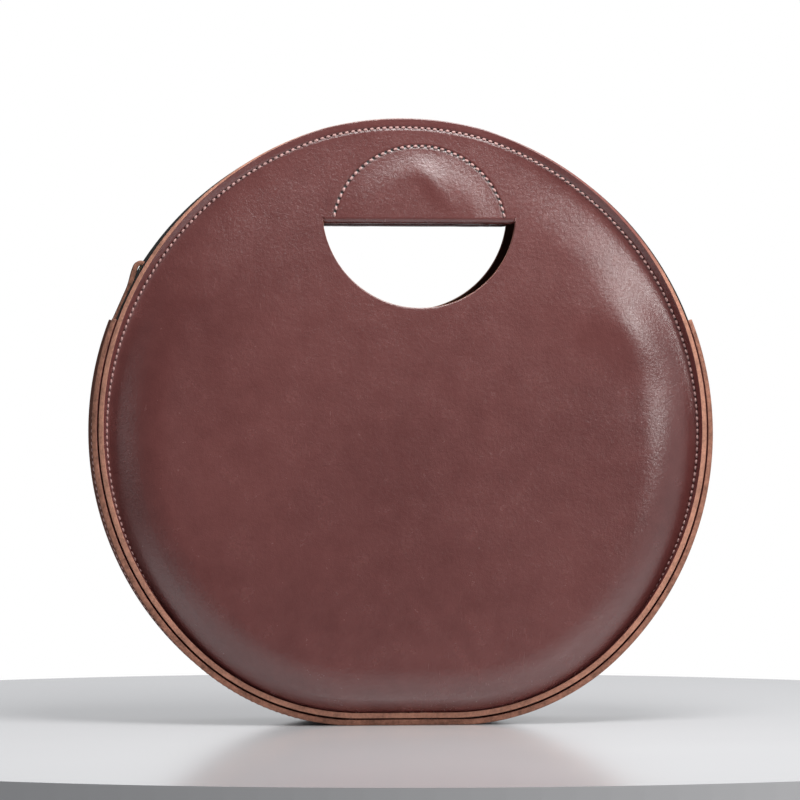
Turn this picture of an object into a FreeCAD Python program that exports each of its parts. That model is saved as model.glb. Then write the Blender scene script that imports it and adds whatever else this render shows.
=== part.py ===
import FreeCAD, Part
import math
import os
import Sketcher

# A round leather hand bag: two disc panels with a cut-out grip, joined by a gusset below and a zip above.
# X runs to the right, Y to the back and Z up. The origin is on the table under the middle of the bag.

doc = FreeCAD.newDocument("circle_bag")
sheet = doc.addObject("Spreadsheet::Sheet", "Sizes")

# Driving dimensions in millimetres, angles in degrees
DIMENSIONS = {
    "disc_radius": 152.5,
    "foot_press": 9.5,
    "heel_step": 32.5,
    "foot_flat": 0.3,
    "leather": 2.8,
    "glue_line": 0.8,
    "seam_allowance": 7.0,
    "stitch_inset": 4.6,
    "zip_half_gap": 12.0,
    "gusset_half_width": 25.0,
    "gusset_end_angle": 21.0,
    "gusset_bend": 4.0,
    "flange_start_angle": 75.0,
    "flange_shift": 2.5,
    "belly_depth": 38.0,
    "face_inset": 37.0,
    "grip_drop": 51.5,
    "grip_offset": 7.5,
    "hole_radius": 47.5,
    "hole_depth": 41.5,
    "fold_gap": 0.6,
    "flap_margin": 2.0,
    "grip_stitch_radius": 42.5,
    "grip_stitch_rise": 38.2,
    "grip_stitch_span": 157.0,
    "thread_width": 0.9,
    "thread_height": 0.5,
    "thread_lift": 0.4,
    "tape_thickness": 0.7,
    "tape_lap": 8.0,
    "tape_edge": 0.6,
    "cord_width": 1.4,
    "cord_height": 2.0,
    "row_reach": 0.9,
    "row_height": 3.0,
    "row_half_width": 2.6,
    "tooth_pitch": 3.2,
    "tooth_width": 1.5,
    "teeth_margin": 18.0,
    "closed_angle": 146.0,
    "stop_length": 2.5,
    "stop_height": 0.9,
    "slider_length": 13.0,
    "slider_half_width": 4.6,
    "slider_plate": 1.2,
    "slider_lip": 1.0,
    "slider_taper": 0.9,
    "run_clearance": 0.35,
    "post_start": 2.2,
    "post_length": 3.0,
    "post_width": 1.6,
    "crown_length": 8.0,
    "crown_height": 3.8,
    "crown_width": 2.6,
    "crown_wall": 1.1,
    "bail_bar": 1.2,
    "bail_reach": 7.5,
    "bail_inner_width": 9.0,
    "bail_lift": 40.0,
    "pull_leather": 2.1,
    "pull_width": 8.0,
    "pull_length": 34.0,
    "pull_slit": 5.0,
    "pull_neck": 9.0,
    "pull_droop": 10.0,
}

for row, (alias, value) in enumerate(DIMENSIONS.items(), start=1):
    sheet.set("A%d" % row, alias)
    sheet.set("B%d" % row, str(value))
    sheet.setAlias("B%d" % row, alias)
doc.recompute()


def size(alias):
    """A driving dimension, read back from the sheet."""
    return float(sheet.get(alias))


# Sizes that follow from the driving dimensions
leather = size("leather")
half_glue = size("glue_line") / 2
radius = size("disc_radius")
centre_height = radius - size("foot_press")
heel = radius - size("heel_step")
end_angle = size("gusset_end_angle")
floor = -size("foot_flat")
heel_x = math.sqrt((radius - heel) ** 2 - (centre_height - floor - heel) ** 2)
heel_z = floor + heel
heel_angle = math.degrees(math.atan2(heel_z - centre_height, heel_x))
seam_top = centre_height + radius - size("seam_allowance")
lean = (size("belly_depth") - size("zip_half_gap")) / (seam_top - size("face_inset"))
lean_factor = math.hypot(1, lean)


# The seam line and the leather around it. The flanges point outwards at the top and forwards at the foot;
# they turn quickly at first, as the power FLANGE_TURN says, and the seam shifts forwards as they turn.
FLANGE_TURN = 2.2
FLANGE_SHARE = 0.3
FOOT_STEPS = 3
HEEL_STATIONS = 4
SIDE_STATIONS = 7


def eased_turn(start, up_angle):
    """A turn in radians from none at the angle start to a quarter at the foot."""
    share = max(0.0, (start - up_angle) / (start + 90))
    return math.radians(90 * (1 - (1 - share) ** FLANGE_TURN))


class Station:
    """One place on the rim: its point, its outward normal and how the seam lies there."""

    def __init__(self, x, z, normal_angle):
        angle = math.radians(normal_angle)
        self.x = x
        self.z = z
        self.nx = math.cos(angle)
        self.nz = math.sin(angle)
        up_angle = math.degrees(math.asin(max(-1.0, min(1.0, self.nz))))
        turn = eased_turn(size("flange_start_angle"), up_angle)
        self.along = (math.cos(turn), math.sin(turn))
        self.across = (-math.sin(turn), math.cos(turn))
        share = max(0.0, (end_angle - up_angle) / (end_angle + 90))
        ease = share * share * (3 - 2 * share)
        shift = size("flange_shift")
        widening = size("gusset_half_width") - size("zip_half_gap") - shift
        depth = size("zip_half_gap") + shift * self.along[1] + ease * widening
        out = size("seam_allowance") * self.along[0] + (half_glue + leather) * self.along[1]
        self.seam = (-out, depth)
        sunk = (1 - FLANGE_SHARE) * size("seam_allowance") + size("gusset_bend")
        web_turn = eased_turn(end_angle, up_angle)
        self.web_u = -sunk * math.cos(web_turn) - leather / 2 * math.sin(web_turn)

    def flange(self, reach, offset):
        """A point on the flange, by its distance past the seam and its offset to the panel's side."""
        u = self.seam[0] + reach * self.along[0] + offset * self.across[0]
        d = self.seam[1] + reach * self.along[1] + offset * self.across[1]
        return (u, d)

    def face_depth(self, u):
        """Depth of the leaning face's inner side at a distance u from the rim."""
        z = self.z + u * self.nz
        return size("zip_half_gap") + lean * (seam_top - z)

    def place(self, point):
        """The point (u, d) of this station's plane, in the bag's frame, on the front side."""
        u, d = point
        return FreeCAD.Vector(self.x + u * self.nx, -d, self.z + u * self.nz)


def arc_stations(cx, cz, arc_radius, first, last, count):
    stations = []
    for step in range(count):
        angle = first + (last - first) * step / (count - 1)
        x = cx + arc_radius * math.cos(math.radians(angle))
        z = cz + arc_radius * math.sin(math.radians(angle))
        stations.append(Station(x, z, angle))
    return stations


def right_half(top_angle):
    """Stations from the middle of the foot up the right side to top_angle."""
    foot = [Station(heel_x * step / FOOT_STEPS, floor, -90) for step in range(FOOT_STEPS)]
    heel_arc = arc_stations(heel_x, heel_z, heel, -90, heel_angle, HEEL_STATIONS)
    side = arc_stations(0, centre_height, radius, heel_angle, end_angle, SIDE_STATIONS)[1:]
    crown = arc_stations(0, centre_height, radius, end_angle, 90, SIDE_STATIONS)[1:]
    stations = foot + heel_arc + side
    if top_angle > end_angle:
        stations += crown
    return stations


def mirrored(station):
    return Station(-station.x, station.z, 180 - math.degrees(math.atan2(station.nz, station.nx)))


def whole_rim():
    """Stations right round the rim, from the foot anticlockwise, with no repeat."""
    right = right_half(90)
    return right + [mirrored(s) for s in reversed(right[1:-1])]


def gusset_run():
    """Stations from the right end of the gusset, under the foot, to its left end."""
    right = right_half(end_angle)
    return list(reversed(right)) + [mirrored(s) for s in right[1:]]


def hermite(start, start_way, end, end_way, count):
    """Points of a smooth curve after its start, up to and with its end."""
    points = []
    for step in range(1, count + 1):
        s = step / count
        a = 2 * s ** 3 - 3 * s ** 2 + 1
        b = s ** 3 - 2 * s ** 2 + s
        c = -2 * s ** 3 + 3 * s ** 2
        d = s ** 3 - s ** 2
        points.append(tuple(a * start[i] + b * start_way[i] + c * end[i] + d * end_way[i] for i in (0, 1)))
    return points


def offset_line(points, distance):
    """The points moved to the left of their direction of travel."""
    moved = []
    for i, (u, d) in enumerate(points):
        before = points[max(i - 1, 0)]
        after = points[min(i + 1, len(points) - 1)]
        du = after[0] - before[0]
        dd = after[1] - before[1]
        length = math.hypot(du, dd)
        moved.append((u - dd / length * distance, d + du / length * distance))
    return moved


def shared_knots(lines):
    """Curve parameters for all the lines: the mean share of the way along at each point."""
    shares = []
    for line in lines:
        way = [0.0]
        for point, following in zip(line, line[1:]):
            way.append(way[-1] + point.distanceToPoint(following))
        shares.append([step / way[-1] for step in way])
    return [sum(column) / len(column) for column in zip(*shares)]


def spline(points, knots):
    curve = Part.BSplineCurve()
    curve.interpolate(Points=points, Parameters=knots)
    return curve.toShape()


def closed_sections(sides):
    """Wires with knots in common, each from two long smooth sides and the two straight ends between them."""
    first_knots = shared_knots([first for first, second in sides])
    second_knots = shared_knots([list(reversed(second)) for first, second in sides])
    wires = []
    for first, second in sides:
        wires.append(Part.Wire([
            spline(first, first_knots),
            Part.makeLine(first[-1], second[-1]),
            spline(list(reversed(second)), second_knots),
            Part.makeLine(second[0], first[0]),
        ]))
    return wires


# How firmly the leather leaves the seam, how much more so where the flange points forwards, and how firmly
# it meets the flat face
PANEL_TURN = 25.0
PANEL_FOOT_TURN = 15.0
PANEL_EASE = 30.0
PANEL_STEPS = 8


def panel_sides(station):
    """Grain and flesh lines of a panel in one station's plane, from the raw edge to the flat face."""
    middle = half_glue + leather / 2
    tip = station.flange(size("seam_allowance"), middle)
    bend = station.flange(size("seam_allowance") * FLANGE_SHARE, middle)
    u_end = -size("face_inset")
    depth = station.face_depth(u_end)
    face_way = (-1 / lean_factor, lean * station.nz / lean_factor)
    end = (u_end, depth + leather * lean_factor / 2)
    turn = PANEL_TURN + PANEL_FOOT_TURN * station.along[1]
    start_way = (-turn * station.along[0], -turn * station.along[1])
    end_way = (PANEL_EASE * face_way[0], PANEL_EASE * face_way[1])
    line = [tip, bend] + hermite(bend, start_way, end, end_way, PANEL_STEPS)
    flesh = offset_line(line, leather / 2)
    grain = offset_line(line, -leather / 2)
    flesh[-1] = (u_end, depth)
    grain[-1] = (u_end, depth + leather * lean_factor)
    return [station.place(p) for p in grain], [station.place(p) for p in flesh]


def dished_disc():
    """The front panel before its grip is cut: a lofted rim closed by two flat faces."""
    sections = closed_sections([panel_sides(station) for station in whole_rim()])
    grain, inner_wall, flesh, raw_edge = Part.makeLoft(sections, False, False, True).Faces
    rings = [edge for edge in inner_wall.Edges if edge.isClosed()]
    flats = [Part.Face(Part.Wire([ring])) for ring in rings]
    shell = Part.Shell([grain, flesh, raw_edge] + flats)
    shell.sewShape()
    return Part.Solid(shell)


# The grip: its frame lies on the leaning face, with y up the face and z out of it
fold_radius = leather + size("fold_gap") / 2
grip_z = centre_height + radius - size("grip_drop")
grip_depth = size("zip_half_gap") + lean * (seam_top - grip_z) + leather * lean_factor
grip_turn = math.degrees(math.atan2(1, lean))
grip_frame = FreeCAD.Placement(
    FreeCAD.Vector(size("grip_offset"), -grip_depth, grip_z),
    FreeCAD.Rotation(FreeCAD.Vector(1, 0, 0), grip_turn),
)
hole_centre = size("hole_radius") - size("hole_depth")
hole_half_width = math.sqrt(size("hole_radius") ** 2 - (fold_radius - hole_centre) ** 2)
flap_rise = size("grip_stitch_rise") + size("flap_margin")


def half_moon(apex, bottom, thickness):
    """A plate bounded by the fold line and an arc through apex, from z = bottom upwards."""
    left = FreeCAD.Vector(-hole_half_width, fold_radius, bottom)
    right = FreeCAD.Vector(hole_half_width, fold_radius, bottom)
    arc = Part.Arc(left, FreeCAD.Vector(0, apex, bottom), right).toShape()
    face = Part.Face(Part.Wire([arc, Part.makeLine(right, left)]))
    return face.extrude(FreeCAD.Vector(0, 0, thickness))


def rolled_fold():
    """The half turn of leather under the grip, from the face to the flap behind it."""
    axis_z = -fold_radius

    def spot(y, z):
        return FreeCAD.Vector(-hole_half_width, y, axis_z + z)

    inner = size("fold_gap") / 2
    outer_arc = Part.Arc(spot(fold_radius, fold_radius), spot(0, 0), spot(fold_radius, -fold_radius))
    inner_arc = Part.Arc(spot(fold_radius, -inner), spot(fold_radius - inner, 0), spot(fold_radius, inner))
    edges = [
        outer_arc.toShape(),
        Part.makeLine(spot(fold_radius, -fold_radius), spot(fold_radius, -inner)),
        inner_arc.toShape(),
        Part.makeLine(spot(fold_radius, inner), spot(fold_radius, fold_radius)),
    ]
    return Part.Face(Part.Wire(edges)).extrude(FreeCAD.Vector(2 * hole_half_width, 0, 0))


def panel_shape():
    """The front panel with its hand hole, its fold and the flap that backs the grip."""
    through = 4 * leather
    hole = half_moon(-size("hole_depth"), -through, 2 * through)
    flap = half_moon(flap_rise, -2 * leather - size("fold_gap"), leather)
    fold = rolled_fold()
    for piece in (hole, flap, fold):
        piece.Placement = grip_frame
    return dished_disc().cut(hole).fuse([fold, flap])


# Length of the curve's end tangents, in bend sizes, that makes the gusset's corners round
GUSSET_ROUND = 1.66
GUSSET_STEPS = 4


def gusset_sides(station):
    """Outer and inner lines of the gusset in one station's plane, from the front edge to the back edge."""
    middle = -(half_glue + leather / 2)
    bend_size = size("gusset_bend")
    tip = station.flange(size("seam_allowance"), middle)
    bend = station.flange(size("seam_allowance") * FLANGE_SHARE, middle)
    web_d = bend[1] - bend_size * (1 + station.along[1] / 2)
    pull = GUSSET_ROUND * bend_size
    start_way = (-pull * station.along[0], -pull * station.along[1])
    front = [tip, bend] + hermite(bend, start_way, (station.web_u, web_d), (0, -pull), GUSSET_STEPS)
    line = front + [(station.web_u, 0)] + [(u, -d) for u, d in reversed(front)]
    outer = offset_line(line, leather / 2)
    inner = offset_line(line, -leather / 2)
    return [station.place(p) for p in outer], [station.place(p) for p in inner]


def gusset_shape():
    """The strip under and beside the panels, cut flat where the bag stands."""
    sections = closed_sections([gusset_sides(station) for station in gusset_run()])
    strip = Part.makeLoft(sections, True, False)
    reach = 2 * radius
    below = Part.makeBox(2 * reach, 2 * reach, reach, FreeCAD.Vector(-reach, -reach, -reach))
    return strip.cut(below)


def closed_spline(points):
    curve = Part.BSplineCurve()
    curve.interpolate(Points=points, PeriodicFlag=True)
    return curve.toShape()


def seam_thread_shape():
    """The line of thread round the front panel, lying on the grain side of the flange."""
    half = size("thread_width") / 2
    reach = size("seam_allowance") - size("stitch_inset")
    low = half_glue + leather + size("thread_lift")
    high = low + size("thread_height")
    corners = [(reach - half, low), (reach + half, low), (reach + half, high), (reach - half, high)]
    rim = whole_rim()
    lines = [closed_spline([s.place(s.flange(*corner)) for s in rim]) for corner in corners]
    sides = [Part.makeRuledSurface(lines[k - 1], lines[k]) for k in range(len(lines))]
    shell = Part.Shell(sides)
    shell.sewShape()
    thread = Part.Solid(shell)
    if thread.Volume < 0:
        thread.reverse()
    return thread


# Sub-parts of leather and thread, whose form no single sketch can give

def add_feature(label, shape):
    feature = doc.addObject("Part::Feature", label)
    feature.Shape = shape
    feature.Label = label
    return feature


def to_back(shape):
    """The same shape on the back of the bag."""
    return shape.mirror(FreeCAD.Vector(0, 0, 0), FreeCAD.Vector(0, 1, 0))


parts = []
front_panel = panel_shape()
seam_thread = seam_thread_shape()
parts.append(add_feature("front_panel", front_panel))
parts.append(add_feature("back_panel", to_back(front_panel)))
parts.append(add_feature("gusset", gusset_shape()))
parts.append(add_feature("front_seam_thread", seam_thread))
parts.append(add_feature("back_seam_thread", to_back(seam_thread)))


# Bodies made from sketches, which start from guessed places

GUESS = 2.0


def new_body(label):
    body = doc.addObject("PartDesign::Body", label)
    body.Label = label
    body.AllowCompound = True
    return body


def new_sketch(body, name, role, lift=None, turn=None):
    """A sketch on one of the body's own planes, raised by the expression lift or turned about its Y."""
    plane = [f for f in body.Origin.OriginFeatures if f.Role == role][0]
    sketch = body.newObject("Sketcher::SketchObject", name)
    sketch.AttachmentSupport = [(plane, "")]
    sketch.MapMode = "FlatFace"
    if turn is not None:
        sketch.AttachmentOffset = FreeCAD.Placement(
            FreeCAD.Vector(0, 0, 0), FreeCAD.Rotation(FreeCAD.Vector(0, 1, 0), turn)
        )
    if lift is not None:
        sketch.setExpression(".AttachmentOffset.Base.z", lift)
    return sketch


def add_outline(sketch, corners):
    """A closed outline with straight sides; each corner is a pair of expressions."""
    first = sketch.GeometryCount
    count = len(corners)
    spots = []
    for k in range(count):
        angle = 2 * math.pi * (k + 0.3) / count
        spots.append(FreeCAD.Vector(math.cos(angle), math.sin(angle), 0))
    for k in range(count):
        sketch.addGeometry(Part.LineSegment(spots[k], spots[(k + 1) % count]), False)
    for k in range(count):
        sketch.addConstraint(Sketcher.Constraint("Coincident", first + k, 2, first + (k + 1) % count, 1))
    for k, (across, up) in enumerate(corners):
        for kind, text, guess in (("DistanceX", across, spots[k].x), ("DistanceY", up, spots[k].y)):
            index = sketch.addConstraint(Sketcher.Constraint(kind, -1, 1, first + k, 1, guess))
            sketch.setExpression("Constraints[%d]" % index, text)


def box_corners(x0, x1, y0, y1):
    return [(x0, y0), (x1, y0), (x1, y1), (x0, y1)]


def pad(body, sketch, name, length, midplane=True):
    feature = body.newObject("PartDesign::Pad", name)
    feature.Profile = sketch
    feature.Midplane = midplane
    feature.setExpression("Length", length)
    return feature


def revolve(body, sketch, name, angle):
    """A turn about the sketch's upright axis, half to each side of the sketch."""
    feature = body.newObject("PartDesign::Revolution", name)
    feature.Profile = sketch
    feature.ReferenceAxis = (sketch, ["V_Axis"])
    feature.Midplane = True
    feature.setExpression("Angle", angle)
    return feature


# The zip. Its bodies turn about the middle of the disc, with local X pointing straight up.
HALF_GLUE = "(Sizes.glue_line / 2)"
TAPE_RADIUS = (
    "(Sizes.disc_radius - (1 - %s) * Sizes.seam_allowance - Sizes.gusset_bend - Sizes.leather / 2"
    " - Sizes.glue_line - Sizes.tape_thickness / 2)" % FLANGE_SHARE
)
TAPE_IN = "(%s - Sizes.tape_thickness / 2)" % TAPE_RADIUS
TAPE_OUT = "(%s + Sizes.tape_thickness / 2)" % TAPE_RADIUS
TAPE_FACE = "(Sizes.zip_half_gap - %s)" % HALF_GLUE
LAP_FACE = "(%s - Sizes.leather - Sizes.gusset_bend / 2)" % TAPE_FACE
ZIP_SPAN = "(180 - 2 * Sizes.gusset_end_angle - 2 * Sizes.run_clearance / Sizes.disc_radius * 180 / pi)"
LAP_SPAN = "(180 - 2 * Sizes.gusset_end_angle + 2 * Sizes.tape_lap / Sizes.disc_radius * 180 / pi)"
PITCH_ANGLE = "(Sizes.tooth_pitch / %s * 180 / pi)" % TAPE_RADIUS
ZIP_RUN = "((Sizes.closed_angle - Sizes.gusset_end_angle) * pi / 180 * %s)" % TAPE_RADIUS
TOOTH_STEPS = "floor((%s - Sizes.teeth_margin) / Sizes.tooth_pitch)" % ZIP_RUN

tape_radius = (
    radius - (1 - FLANGE_SHARE) * size("seam_allowance") - size("gusset_bend") - leather / 2
    - size("glue_line") - size("tape_thickness") / 2
)
pitch_angle = math.degrees(size("tooth_pitch") / tape_radius)
closed_angle = size("closed_angle")
zip_run = math.radians(closed_angle - end_angle) * tape_radius
tooth_steps = math.floor((zip_run - size("teeth_margin")) / size("tooth_pitch"))
up_frame = FreeCAD.Placement(
    FreeCAD.Vector(0, 0, centre_height), FreeCAD.Rotation(FreeCAD.Vector(0, 1, 0), -90)
)


def zip_tape(label, side):
    """One woven tape: a web towards the teeth, turned up where it is sewn to the panel."""
    body = new_body(label)
    sewn = new_sketch(body, label + "_sewn", "XY_Plane")
    inner = "%s * (%s - Sizes.tape_thickness)" % (side, TAPE_FACE)
    outer = "%s * %s" % (side, TAPE_FACE)
    edge = "%s * Sizes.row_half_width" % side
    rim = "Sizes.disc_radius - Sizes.tape_edge"
    add_outline(sewn, [
        (TAPE_IN, edge), (TAPE_OUT, edge), (TAPE_OUT, inner), (rim, inner), (rim, outer), (TAPE_IN, outer),
    ])
    revolve(body, sewn, label + "_web", ZIP_SPAN)
    lap = new_sketch(body, label + "_lap", "XY_Plane")
    add_outline(lap, box_corners(TAPE_IN, TAPE_OUT, edge, "%s * %s" % (side, LAP_FACE)))
    revolve(body, lap, label + "_ends", LAP_SPAN)
    body.Placement = up_frame
    return body


def zip_teeth(label, side, first_angle):
    """One row of teeth on its cord; the rows reach past each other and interlock."""
    body = new_body(label)
    cord = new_sketch(body, label + "_cord", "XY_Plane")
    near = "%s * (Sizes.row_half_width - Sizes.cord_width)" % side
    far = "%s * Sizes.row_half_width" % side
    low = "%s - Sizes.cord_height / 2" % TAPE_RADIUS
    high = "%s + Sizes.cord_height / 2" % TAPE_RADIUS
    add_outline(cord, box_corners(low, high, near, far))
    revolve(body, cord, label + "_run", ZIP_SPAN)
    tooth = new_sketch(body, label + "_tooth", "XY_Plane", turn=90 - first_angle)
    low = "%s - Sizes.row_height / 2" % TAPE_RADIUS
    high = "%s + Sizes.row_height / 2" % TAPE_RADIUS
    add_outline(tooth, box_corners(low, high, "-%s * Sizes.row_reach" % side, far))
    one = pad(body, tooth, label + "_one", "Sizes.tooth_width")
    doc.recompute()
    row = body.newObject("PartDesign::PolarPattern", label + "_row")
    row.Originals = [one]
    row.Axis = (cord, ["V_Axis"])
    row.setExpression("Angle", "%s * %s" % (TOOTH_STEPS, PITCH_ANGLE))
    row.setExpression("Occurrences", TOOTH_STEPS + " + 1")
    body.Tip = row
    body.Placement = up_frame
    return body


FRONT = "-1"
BACK = "1"
parts.append(zip_tape("zip_tape_front", FRONT))
parts.append(zip_tape("zip_tape_back", BACK))
parts.append(zip_teeth("zip_teeth_front", FRONT, closed_angle))
parts.append(zip_teeth("zip_teeth_back", BACK, closed_angle - pitch_angle / 2))


def on_zip(angle, along=0.0, above=0.0, tilt=0.0):
    """A frame on the zip: x runs down its left side, y to the front and z out of the bag."""
    turn = math.radians(angle)
    out = FreeCAD.Vector(math.cos(turn), 0, math.sin(turn))
    down = FreeCAD.Vector(-math.sin(turn), 0, math.cos(turn))
    base = FreeCAD.Vector(0, 0, centre_height) + out * (tape_radius + above) + down * along
    level = FreeCAD.Rotation(FreeCAD.Vector(0, 1, 0), 90 - angle)
    about_face = FreeCAD.Rotation(FreeCAD.Vector(0, 0, 1), 180)
    raised = FreeCAD.Rotation(FreeCAD.Vector(0, 1, 0), -tilt)
    return FreeCAD.Placement(base, level.multiply(about_face).multiply(raised))


# Stops at the two ends of the teeth
def stop_box(name, width):
    """A small pressed stop for the end of the teeth."""
    box = doc.addObject("Part::Box", name)
    box.setExpression("Length", "Sizes.stop_length")
    box.setExpression("Width", width)
    box.setExpression("Height", "Sizes.stop_height")
    return box


def seat_stop(box, angle, near):
    """Lays a stop on the cords, from y = near."""
    frame = on_zip(angle)
    corner = FreeCAD.Vector(-size("stop_length") / 2, near, size("cord_height") / 2)
    box.Placement = FreeCAD.Placement(frame.multVec(corner), frame.Rotation)


half_row = size("row_half_width")
top_gap = size("slider_length") / 2 + size("run_clearance") + size("stop_length") / 2
top_stop_angle = closed_angle + math.degrees(top_gap / tape_radius)
last_tooth_angle = closed_angle - (tooth_steps + 0.5) * pitch_angle
bottom_stop_angle = last_tooth_angle - math.degrees(size("stop_length") / tape_radius)
top_boxes = []
for name, near in (("top_stop_front", -half_row), ("top_stop_back", half_row - size("cord_width"))):
    box = stop_box(name, "Sizes.cord_width")
    seat_stop(box, top_stop_angle, near)
    top_boxes.append(box)
top_stops = doc.addObject("Part::Compound", "zip_top_stops")
top_stops.Links = top_boxes
parts.append(top_stops)
bottom_stop = stop_box("zip_bottom_stop", "2 * Sizes.row_half_width")
seat_stop(bottom_stop, bottom_stop_angle, -half_row)
parts.append(bottom_stop)


# The slider: two plates on a post, with lips that hold the rows together and a crown on top
PLATE_LOW = "(Sizes.row_height / 2 + Sizes.run_clearance)"
PLATE_HIGH = "(%s + Sizes.slider_plate)" % PLATE_LOW
SLOT_HALF = "(Sizes.tape_thickness / 2 + Sizes.run_clearance)"
CHANNEL_HALF = "(Sizes.slider_half_width - Sizes.slider_lip)"
POST_NOSE = "Sizes.post_width / 5"


def zip_slider(label):
    body = new_body(label)
    post = new_sketch(body, "post_outline", "XY_Plane")
    start = "Sizes.post_start"
    finish = "Sizes.post_start + Sizes.post_length"
    half = "Sizes.post_width / 2"
    add_outline(post, [
        (start, "-" + POST_NOSE), (finish, "-" + half), (finish, half), (start, POST_NOSE),
    ])
    pad(body, post, "post", "2 * " + PLATE_HIGH)
    end = "Sizes.slider_length / 2"
    waist = "-Sizes.slider_length / 6"
    wide = "Sizes.slider_half_width"
    narrow = "(Sizes.slider_half_width - Sizes.slider_taper)"
    plate_outline = [
        ("-" + end, "-" + narrow), (waist, "-" + wide), (end + " - Sizes.slider_taper", "-" + wide),
        (end, "-" + narrow), (end, narrow), (end + " - Sizes.slider_taper", wide), (waist, wide),
        ("-" + end, narrow),
    ]
    for name, low in (("top_plate", PLATE_LOW), ("bottom_plate", "-" + PLATE_HIGH)):
        outline = new_sketch(body, name + "_outline", "XY_Plane", lift=low)
        add_outline(outline, plate_outline)
        pad(body, outline, name, "Sizes.slider_plate", midplane=False)
    lip_height = "%s - %s" % (PLATE_LOW, SLOT_HALF)
    for level, low in (("top", SLOT_HALF), ("bottom", "-" + PLATE_LOW)):
        lips = new_sketch(body, level + "_lip_outline", "XY_Plane", lift=low)
        add_outline(lips, box_corners(waist, end + " - Sizes.slider_taper", CHANNEL_HALF, wide))
        add_outline(lips, box_corners(waist, end + " - Sizes.slider_taper", "-" + wide, "-" + CHANNEL_HALF))
        pad(body, lips, level + "_lips", lip_height, midplane=False)
    crown = new_sketch(body, "crown_outline", "XZ_Plane")
    reach = "Sizes.crown_length / 2"
    inside = "(Sizes.crown_length / 2 - Sizes.crown_wall)"
    top = "(%s + Sizes.crown_height)" % PLATE_HIGH
    under = "(%s - Sizes.crown_wall)" % top
    shoulder = "(%s - Sizes.crown_wall)" % reach
    add_outline(crown, [
        ("-" + reach, PLATE_HIGH), ("-" + inside, PLATE_HIGH), ("-" + inside, under), (inside, under),
        (inside, PLATE_HIGH), (reach, PLATE_HIGH), (reach, under), (shoulder, top), ("-" + shoulder, top),
        ("-" + reach, under),
    ])
    pad(body, crown, "crown", "Sizes.crown_width")
    body.Placement = on_zip(closed_angle)
    return body


parts.append(zip_slider("zip_slider"))


# The bail: a stamped ring whose near bar turns under the crown and whose far bar carries the leather pull
BAIL_SEAT = 0.95
plate_top = size("row_height") / 2 + size("run_clearance") + size("slider_plate")
pivot_above = plate_top + size("bail_bar") * BAIL_SEAT


def zip_bail(label):
    """Two arms and a far bar cut from sheet, on a round near bar that the crown holds."""
    body = new_body(label)
    arms = new_sketch(body, "arms_outline", "XY_Plane")
    far = "(Sizes.bail_reach + Sizes.bail_bar / 2)"
    inside = "(Sizes.bail_reach - Sizes.bail_bar / 2)"
    half = "(Sizes.bail_inner_width / 2)"
    side = "(%s + Sizes.bail_bar)" % half
    corner = "(%s - Sizes.bail_bar)" % far
    add_outline(arms, [
        ("0", "-" + side), (corner, "-" + side), (far, "-" + half), (far, half), (corner, side), ("0", side),
        ("0", half), (inside, half), (inside, "-" + half), ("0", "-" + half),
    ])
    pad(body, arms, "arms", "Sizes.bail_bar")
    bar = new_sketch(body, "near_bar_outline", "XZ_Plane")
    circle = bar.addGeometry(Part.Circle(FreeCAD.Vector(0, 0, 0), FreeCAD.Vector(0, 0, 1), GUESS), False)
    bar.addConstraint(Sketcher.Constraint("Coincident", circle, 3, -1, 1))
    index = bar.addConstraint(Sketcher.Constraint("Radius", circle, GUESS))
    bar.setExpression("Constraints[%d]" % index, "Sizes.bail_bar / 2")
    pad(body, bar, "near_bar", "2 * " + side)
    body.Placement = on_zip(closed_angle, above=pivot_above, tilt=size("bail_lift"))
    return body


parts.append(zip_bail("zip_bail"))


# The pull: a strip of leather folded over the far bar of the bail.
def sketch_half_turn(sketch, radius_text):
    """Half a circle about the origin on its left side; gives the arc's index."""
    circle = Part.Circle(FreeCAD.Vector(0, 0, 0), FreeCAD.Vector(0, 0, 1), GUESS)
    arc = sketch.addGeometry(Part.ArcOfCircle(circle, math.pi / 2, 3 * math.pi / 2), False)
    sketch.addConstraint(Sketcher.Constraint("Coincident", arc, 3, -1, 1))
    sketch.addConstraint(Sketcher.Constraint("PointOnObject", arc, 1, -2))
    sketch.addConstraint(Sketcher.Constraint("PointOnObject", arc, 2, -2))
    index = sketch.addConstraint(Sketcher.Constraint("Radius", arc, GUESS))
    sketch.setExpression("Constraints[%d]" % index, radius_text)
    return arc


def sketch_tail(sketch, arc, run):
    """Straight sides from the upper end of a half turn, out along run and back below it."""
    spots = [(text, half) for text, half in run]
    spots += [(text, "-" + half) for text, half in reversed(run) if half is not None]
    guesses = [FreeCAD.Vector(GUESS + 1 + k, GUESS / (k + 2), 0) for k in range(len(spots))]
    chain = [FreeCAD.Vector(0, GUESS, 0)] + guesses + [FreeCAD.Vector(0, -GUESS, 0)]
    first = sketch.GeometryCount
    for k in range(len(chain) - 1):
        sketch.addGeometry(Part.LineSegment(chain[k], chain[k + 1]), False)
    sketch.addConstraint(Sketcher.Constraint("Coincident", first, 1, arc, 1))
    for k in range(len(chain) - 2):
        sketch.addConstraint(Sketcher.Constraint("Coincident", first + k, 2, first + k + 1, 1))
    sketch.addConstraint(Sketcher.Constraint("Coincident", first + len(chain) - 2, 2, arc, 2))
    for k, (across, up) in enumerate(spots):
        index = sketch.addConstraint(Sketcher.Constraint("DistanceX", -1, 1, first + k, 2, guesses[k].x))
        sketch.setExpression("Constraints[%d]" % index, across)
        if up is None:
            sketch.addConstraint(Sketcher.Constraint("PointOnObject", first + k, 2, -1))
        else:
            index = sketch.addConstraint(Sketcher.Constraint("DistanceY", -1, 1, first + k, 2, guesses[k].y))
            sketch.setExpression("Constraints[%d]" % index, up)


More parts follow.
